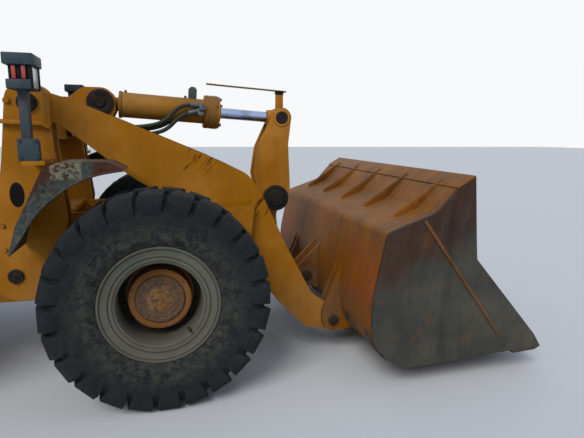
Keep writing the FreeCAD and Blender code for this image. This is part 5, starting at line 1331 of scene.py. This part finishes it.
twins("fender_flaps", [
    outline_plate([(rear_axle - 0.786, 1.165), (rear_axle - 0.778, 1.165), (rear_axle - 0.792, 0.84),
                   (rear_axle - 0.8, 0.84)], 0.7, 1.13, 0.001),
    hexagons([(rear_axle - 0.787, y, 1.135) for y in (0.75, 0.91, 1.08)], 0.009, 0.008, (-1, 0, 0.04)),
], rubber, "chassis", "tyre_rubber")


# Cab: a welded frame of square tube with flat glass in rubber seals. The roof is one
# moulding with a gutter, and lamps hang at its corners. Inside are a sprung seat, a
# console with the steering wheel, levers and pedals.

dress(yellow_paint, "cab_floor", "cab_frame", "door_left", "door_right")
dress(black_trim, "handrails")
cab_front, cab_rear = fore(-1.4), fore(-2.62)
cab_half = 0.68
roof_low, roof_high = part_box("cab_roof")
roof = block((roof_low.x + 0.012, roof_low.y + 0.012, roof_low.z + 0.03), (roof_high.x - 0.012, roof_high.y - 0.012,
                                                                         roof_high.z), 0.048, 6)
only(roof)
mode("EDIT")
bpy.ops.mesh.select_all(action="DESELECT")
mode("OBJECT")
for face in roof.data.polygons:
    face.select = face.normal.z > 0.99
mode("EDIT")
bpy.ops.mesh.select_mode(type="FACE")
bpy.ops.mesh.inset(thickness=0.11, depth=0)
bpy.ops.mesh.inset(thickness=0.025, depth=0.014)
mode("OBJECT")
roof_paint = enamel("roof_paint", (0.07, 0.082, 0.09, 1), 0.24, 0.5, 0.5, 0.5)
fitted(joined("roof_moulding", [
    roof,
    block(roof_low, (roof_high.x, roof_high.y, roof_low.z + 0.036), 0.012, 3),
    block((roof_low.x + 0.2, -0.24, roof_high.z - 0.024), (roof_low.x + 0.62, 0.24, roof_high.z - 0.004), 0.01),
], 40), roof_paint, "chassis", "grey_paint", "cab_roof")

lamp_places = [(roof_high.x, 1), (roof_low.x, -1)]
for name, material, slot, depth_low, depth_high, rim in (
        ("roof_lamp_shells", black_trim, "black_trim", -0.01, 0.056, 0.0),
        ("roof_lamp_lenses", clear_lens, "glass", 0.052, 0.061, 0.012)):
    parts = []
    for end_x, way in lamp_places:
        near, far = end_x + way * depth_low, end_x + way * depth_high
        parts.append(block((min(near, far), 0.43 + rim, 3.05 + rim), (max(near, far), 0.59 - rim, 3.15 - rim),
                           0.008, 3))
    twins(name, parts, material, "chassis", slot)

glass, glass_tree, glass_surface = blank_material("cab_glass")
glass_place = place_in(glass_tree)
film = grain(glass_place, 5, 7, 0.65)
shaded(glass_surface, {
    "Base Color": (0.8, 0.88, 0.86, 1), "Roughness": step(film, 0.45, 3.2),
    "Transmission Weight": 1.0, "IOR": 1.45})
dress(glass, "cab_windows", "door_glass_left", "door_glass_right")


def seal(low, high, axis, width=0.016, proud=0.006):
    """A rubber seal around a flat pane that is square to an axis."""
    low, high = Vector(low), Vector(high)
    sides = [i for i in range(3) if i != axis]
    low[axis] -= proud
    high[axis] += proud
    parts = []
    for along in sides:
        for end in (low, high):
            start, stop = low.copy(), high.copy()
            inner = width if end is low else -width
            start[along] = min(end[along], end[along] + inner)
            stop[along] = max(end[along], end[along] + inner)
            parts.append(block(start, stop, 0.003, 2))
    return parts


window_z = (1.981, 2.969)
seals = seal((cab_front - 0.03, -0.614, 1.761), (cab_front - 0.024, 0.614, 2.969), 0)
seals += seal((cab_rear + 0.02, -0.614, window_z[0]), (cab_rear + 0.026, 0.614, window_z[1]), 0)
for side in (1, -1):
    pane_y = sorted((side * (cab_half - 0.03), side * (cab_half - 0.024)))
    seals += seal((cab_rear + 0.066, pane_y[0], window_z[0]), (fore(-2.39) - 0.066, pane_y[1], window_z[1]), 1)
single("window_seals", seals, black_trim, "chassis", "black_trim")
for side, name in ((1, "left"), (-1, "right")):
    handle_x = fore(-1.505)
    single("door_trim_" + name, seal(*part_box("door_glass_" + name), 1) + [
        block((handle_x - 0.02, min(side * 0.6795, side * 0.692), 1.56),
              (handle_x + 0.02, max(side * 0.6795, side * 0.692), 1.7), 0.005),
        tube([(handle_x, side * y, z) for y, z in ((0.69, 1.575), (0.722, 1.59), (0.722, 1.67), (0.69, 1.685))],
             0.008, 3),
    ], black_trim, "cab_door_" + name, "black_trim")

single("wipers", [
    tube([(cab_front - 0.002, 0.1, 1.745), (cab_front + 0.018, 0.11, 1.8), (cab_front + 0.01, 0.24, 2.2)], 0.006,
         2),
    block((cab_front - 0.02, 0.228, 2.02), (cab_front - 0.004, 0.242, 2.5), 0.004),
    tube([(cab_rear + 0.004, -0.05, 1.96), (cab_rear - 0.016, -0.06, 2.0), (cab_rear - 0.004, -0.16, 2.28)],
         0.005, 2),
    block((cab_rear + 0.002, -0.166, 2.16), (cab_rear + 0.016, -0.154, 2.5), 0.004),
], black_trim, "chassis", "black_trim")
mirror_x = cab_front + 0.055
twins("mirrors", [
    block((mirror_x - 0.008, 0.84, 2.3), (mirror_x + 0.034, 1.02, 2.62), 0.022, 4),
] + [
    tube([(cab_front - 0.01, 0.676, z), (cab_front + 0.045, 0.72, z + 0.01 * way), (mirror_x, 0.9, z + 0.01 * way),
          (mirror_x, 0.93, z - 0.04 * way)], 0.01, 3)
    for z, way in ((2.62, 1), (2.3, -1))
], black_trim, "chassis", "black_trim")
mirror_glass, mirror_tree, mirror_surface = blank_material("mirror_glass")
mirror_film = grain(place_in(mirror_tree), 16, 6)
shaded(mirror_surface, {
    "Base Color": mixed(mirror_film, (0.6, 0.64, 0.66, 1), (0.48, 0.5, 0.5, 1)), "Metallic": 1.0,
    "Roughness": step(mirror_film, 0.4, 2.6)})
twins("mirror_faces", [
    block((mirror_x - 0.011, 0.855, 2.315), (mirror_x - 0.007, 1.005, 2.605), 0.0015)], mirror_glass, "chassis",
    "glass")




def cushion(low, high, name, channels):
    """A crowned pad with sewn channels at these places along its longest side."""
    pad = block(low, high, 0.022, 3)
    only(pad)
    mode("EDIT")
    bpy.ops.mesh.select_all(action="SELECT")
    bpy.ops.mesh.subdivide(number_cuts=3)
    for plane_point, plane_normal in channels:
        for edge in (-0.005, 0.005):
            bpy.ops.mesh.select_all(action="SELECT")
            bpy.ops.mesh.bisect(plane_co=Vector(plane_point) + Vector(plane_normal) * edge,
                                plane_no=plane_normal)
    mode("OBJECT")
    applied(pad, "CAST", factor=0.1, cast_type="SPHERE", size=0)
    applied(pad, "SUBSURF", levels=1, render_levels=1)
    return joined(name, [pad], 60)


fabric, fabric_tree, fabric_surface = blank_material("seat_fabric")
fabric_place = place_in(fabric_tree)
weave = put(fabric_tree, "TexWave", {"Vector": fabric_place, "Scale": 90.0}, bands_direction="Y").outputs["Fac"]
cross_weave = put(fabric_tree, "TexWave", {"Vector": fabric_place, "Scale": 90.0}, bands_direction="Z").outputs["Fac"]
soiled = grain(fabric_place, 8, 6)
fabric_colour = mixed(step(soiled, 0.4, 0.7), (0.016, 0.017, 0.019, 1),
                      (0.05, 0.046, 0.04, 1))
fabric_bump = put(fabric_tree, "Bump", {"Height": times(weave, cross_weave),
                                        "Distance": 0.001})
shaded(fabric_surface, {"Base Color": fabric_colour, "Roughness": 0.9,
                                                    "Sheen Weight": 0.3, "Normal": fabric_bump.outputs[0]})
seat_pad = cushion(at(-2.325, -0.228, 1.645), at(-1.963, 0.228, 1.758), "seat_cushion",
                   [(at(-2.2, 0, 0), (1, 0, 0)), (at(-2.08, 0, 0), (1, 0, 0))])
fitted(seat_pad, fabric, "chassis", "black_trim", "seat")
back_pad = cushion(at(-2.418, -0.218, 1.705), at(-2.323, 0.218, 2.346), "seat_back",
                   [((0, 0, 1.88), (0, 0, 1)), ((0, 0, 2.04), (0, 0, 1)), ((0, 0, 2.2), (0, 0, 1))])
fitted(back_pad, fabric, "chassis", "black_trim", "seat")
single("seat_base", [
    block(at(-2.3, -0.19, 1.61), at(-1.99, 0.19, 1.646), 0.008),
    block(at(-2.27, -0.135, 1.4), at(-2.13, 0.135, 1.44), 0.006),
    block(at(-2.262, -0.12, 1.44), at(-2.138, 0.12, 1.48), 0.016),
    block(at(-2.266, -0.126, 1.48), at(-2.134, 0.126, 1.525), 0.016),
    block(at(-2.262, -0.12, 1.525), at(-2.138, 0.12, 1.57), 0.016),
    block(at(-2.266, -0.126, 1.57), at(-2.134, 0.126, 1.612), 0.016),
    block(at(-2.36, -0.268, 1.88), at(-2.1, -0.232, 1.925), 0.012, 3),
    block(at(-2.36, 0.232, 1.88), at(-2.1, 0.268, 1.925), 0.012, 3),
], black_trim, "chassis", "black_trim", "seat")

column_x = fore(-1.64)
wheel_z = 2.07
begin()
bpy.ops.mesh.primitive_torus_add(location=(column_x, 0, wheel_z), major_radius=0.18, minor_radius=0.0135,
                                 major_segments=56, minor_segments=12)
hand_rim = bpy.context.object
bpy.ops.object.transform_apply()
spokes = [tube([(column_x + x, y, wheel_z - drop) for x, y, drop in route], 0.009, 3) for route in (
    ((0, 0.02, 0), (0, 0.1, 0.004), (0, 0.178, 0)),
    ((-0.017, -0.01, 0), (-0.09, -0.05, 0.004), (-0.154, -0.088, 0)),
    ((0.017, -0.01, 0), (0.09, -0.05, 0.004), (0.154, -0.088, 0)))]
dials = [lathe([(0, 0.045), (0.004, 0.045), (0.006, 0.04), (0.002, 0.038), (0.002, 0.001)],
               (column_x + 0.13, y, 1.7215), (0, 0, 1), 24) for y in (-0.12, 0.12)]
pedals = [block((column_x - 0.02, y - 0.03, 1.4), (column_x + 0.06, y + 0.03, 1.43), 0.006)
          for y in (0.14, -0.14)]
levers = [tube([at(-1.93, y, 1.79), at(-1.925, y, 1.9), at(-1.9, y, 2.0)], 0.008, 3) for y in (-0.33, -0.39)]
knobs = [lathe([(0, 0.001), (0, 0.014), (0.012, 0.021), (0.036, 0.021), (0.046, 0.01), (0.047, 0.001)],
               at(-1.9, y, 1.99), (0, 0, 1), 20) for y in (-0.33, -0.39)]
single("steering_wheel_and_console", [
    hand_rim,
    turned([(-0.022, 0.036), (0.0, 0.04), (0.01, 0.036), (0.014, 0.02)], (column_x, 0, wheel_z), (0, 0, 1), 28),
    turned([(0, 0.04), (0.02, 0.034), (0.1, 0.026), (0.64, 0.024)], (column_x, 0, 1.41), (0, 0, 1), 24),
    block((column_x + 0.078, -0.2, 1.4), (cab_front - 0.036, 0.2, 1.64), 0.02, 3),
    block((column_x + 0.05, -0.23, 1.63), (cab_front - 0.036, 0.23, 1.722), 0.026, 4),
    block(at(-2.16, -0.42, 1.4), at(-1.86, -0.3, 1.8), 0.018, 3),
] + spokes + dials + pedals + levers + knobs, black_trim, "chassis", "black_trim", "steering_column")
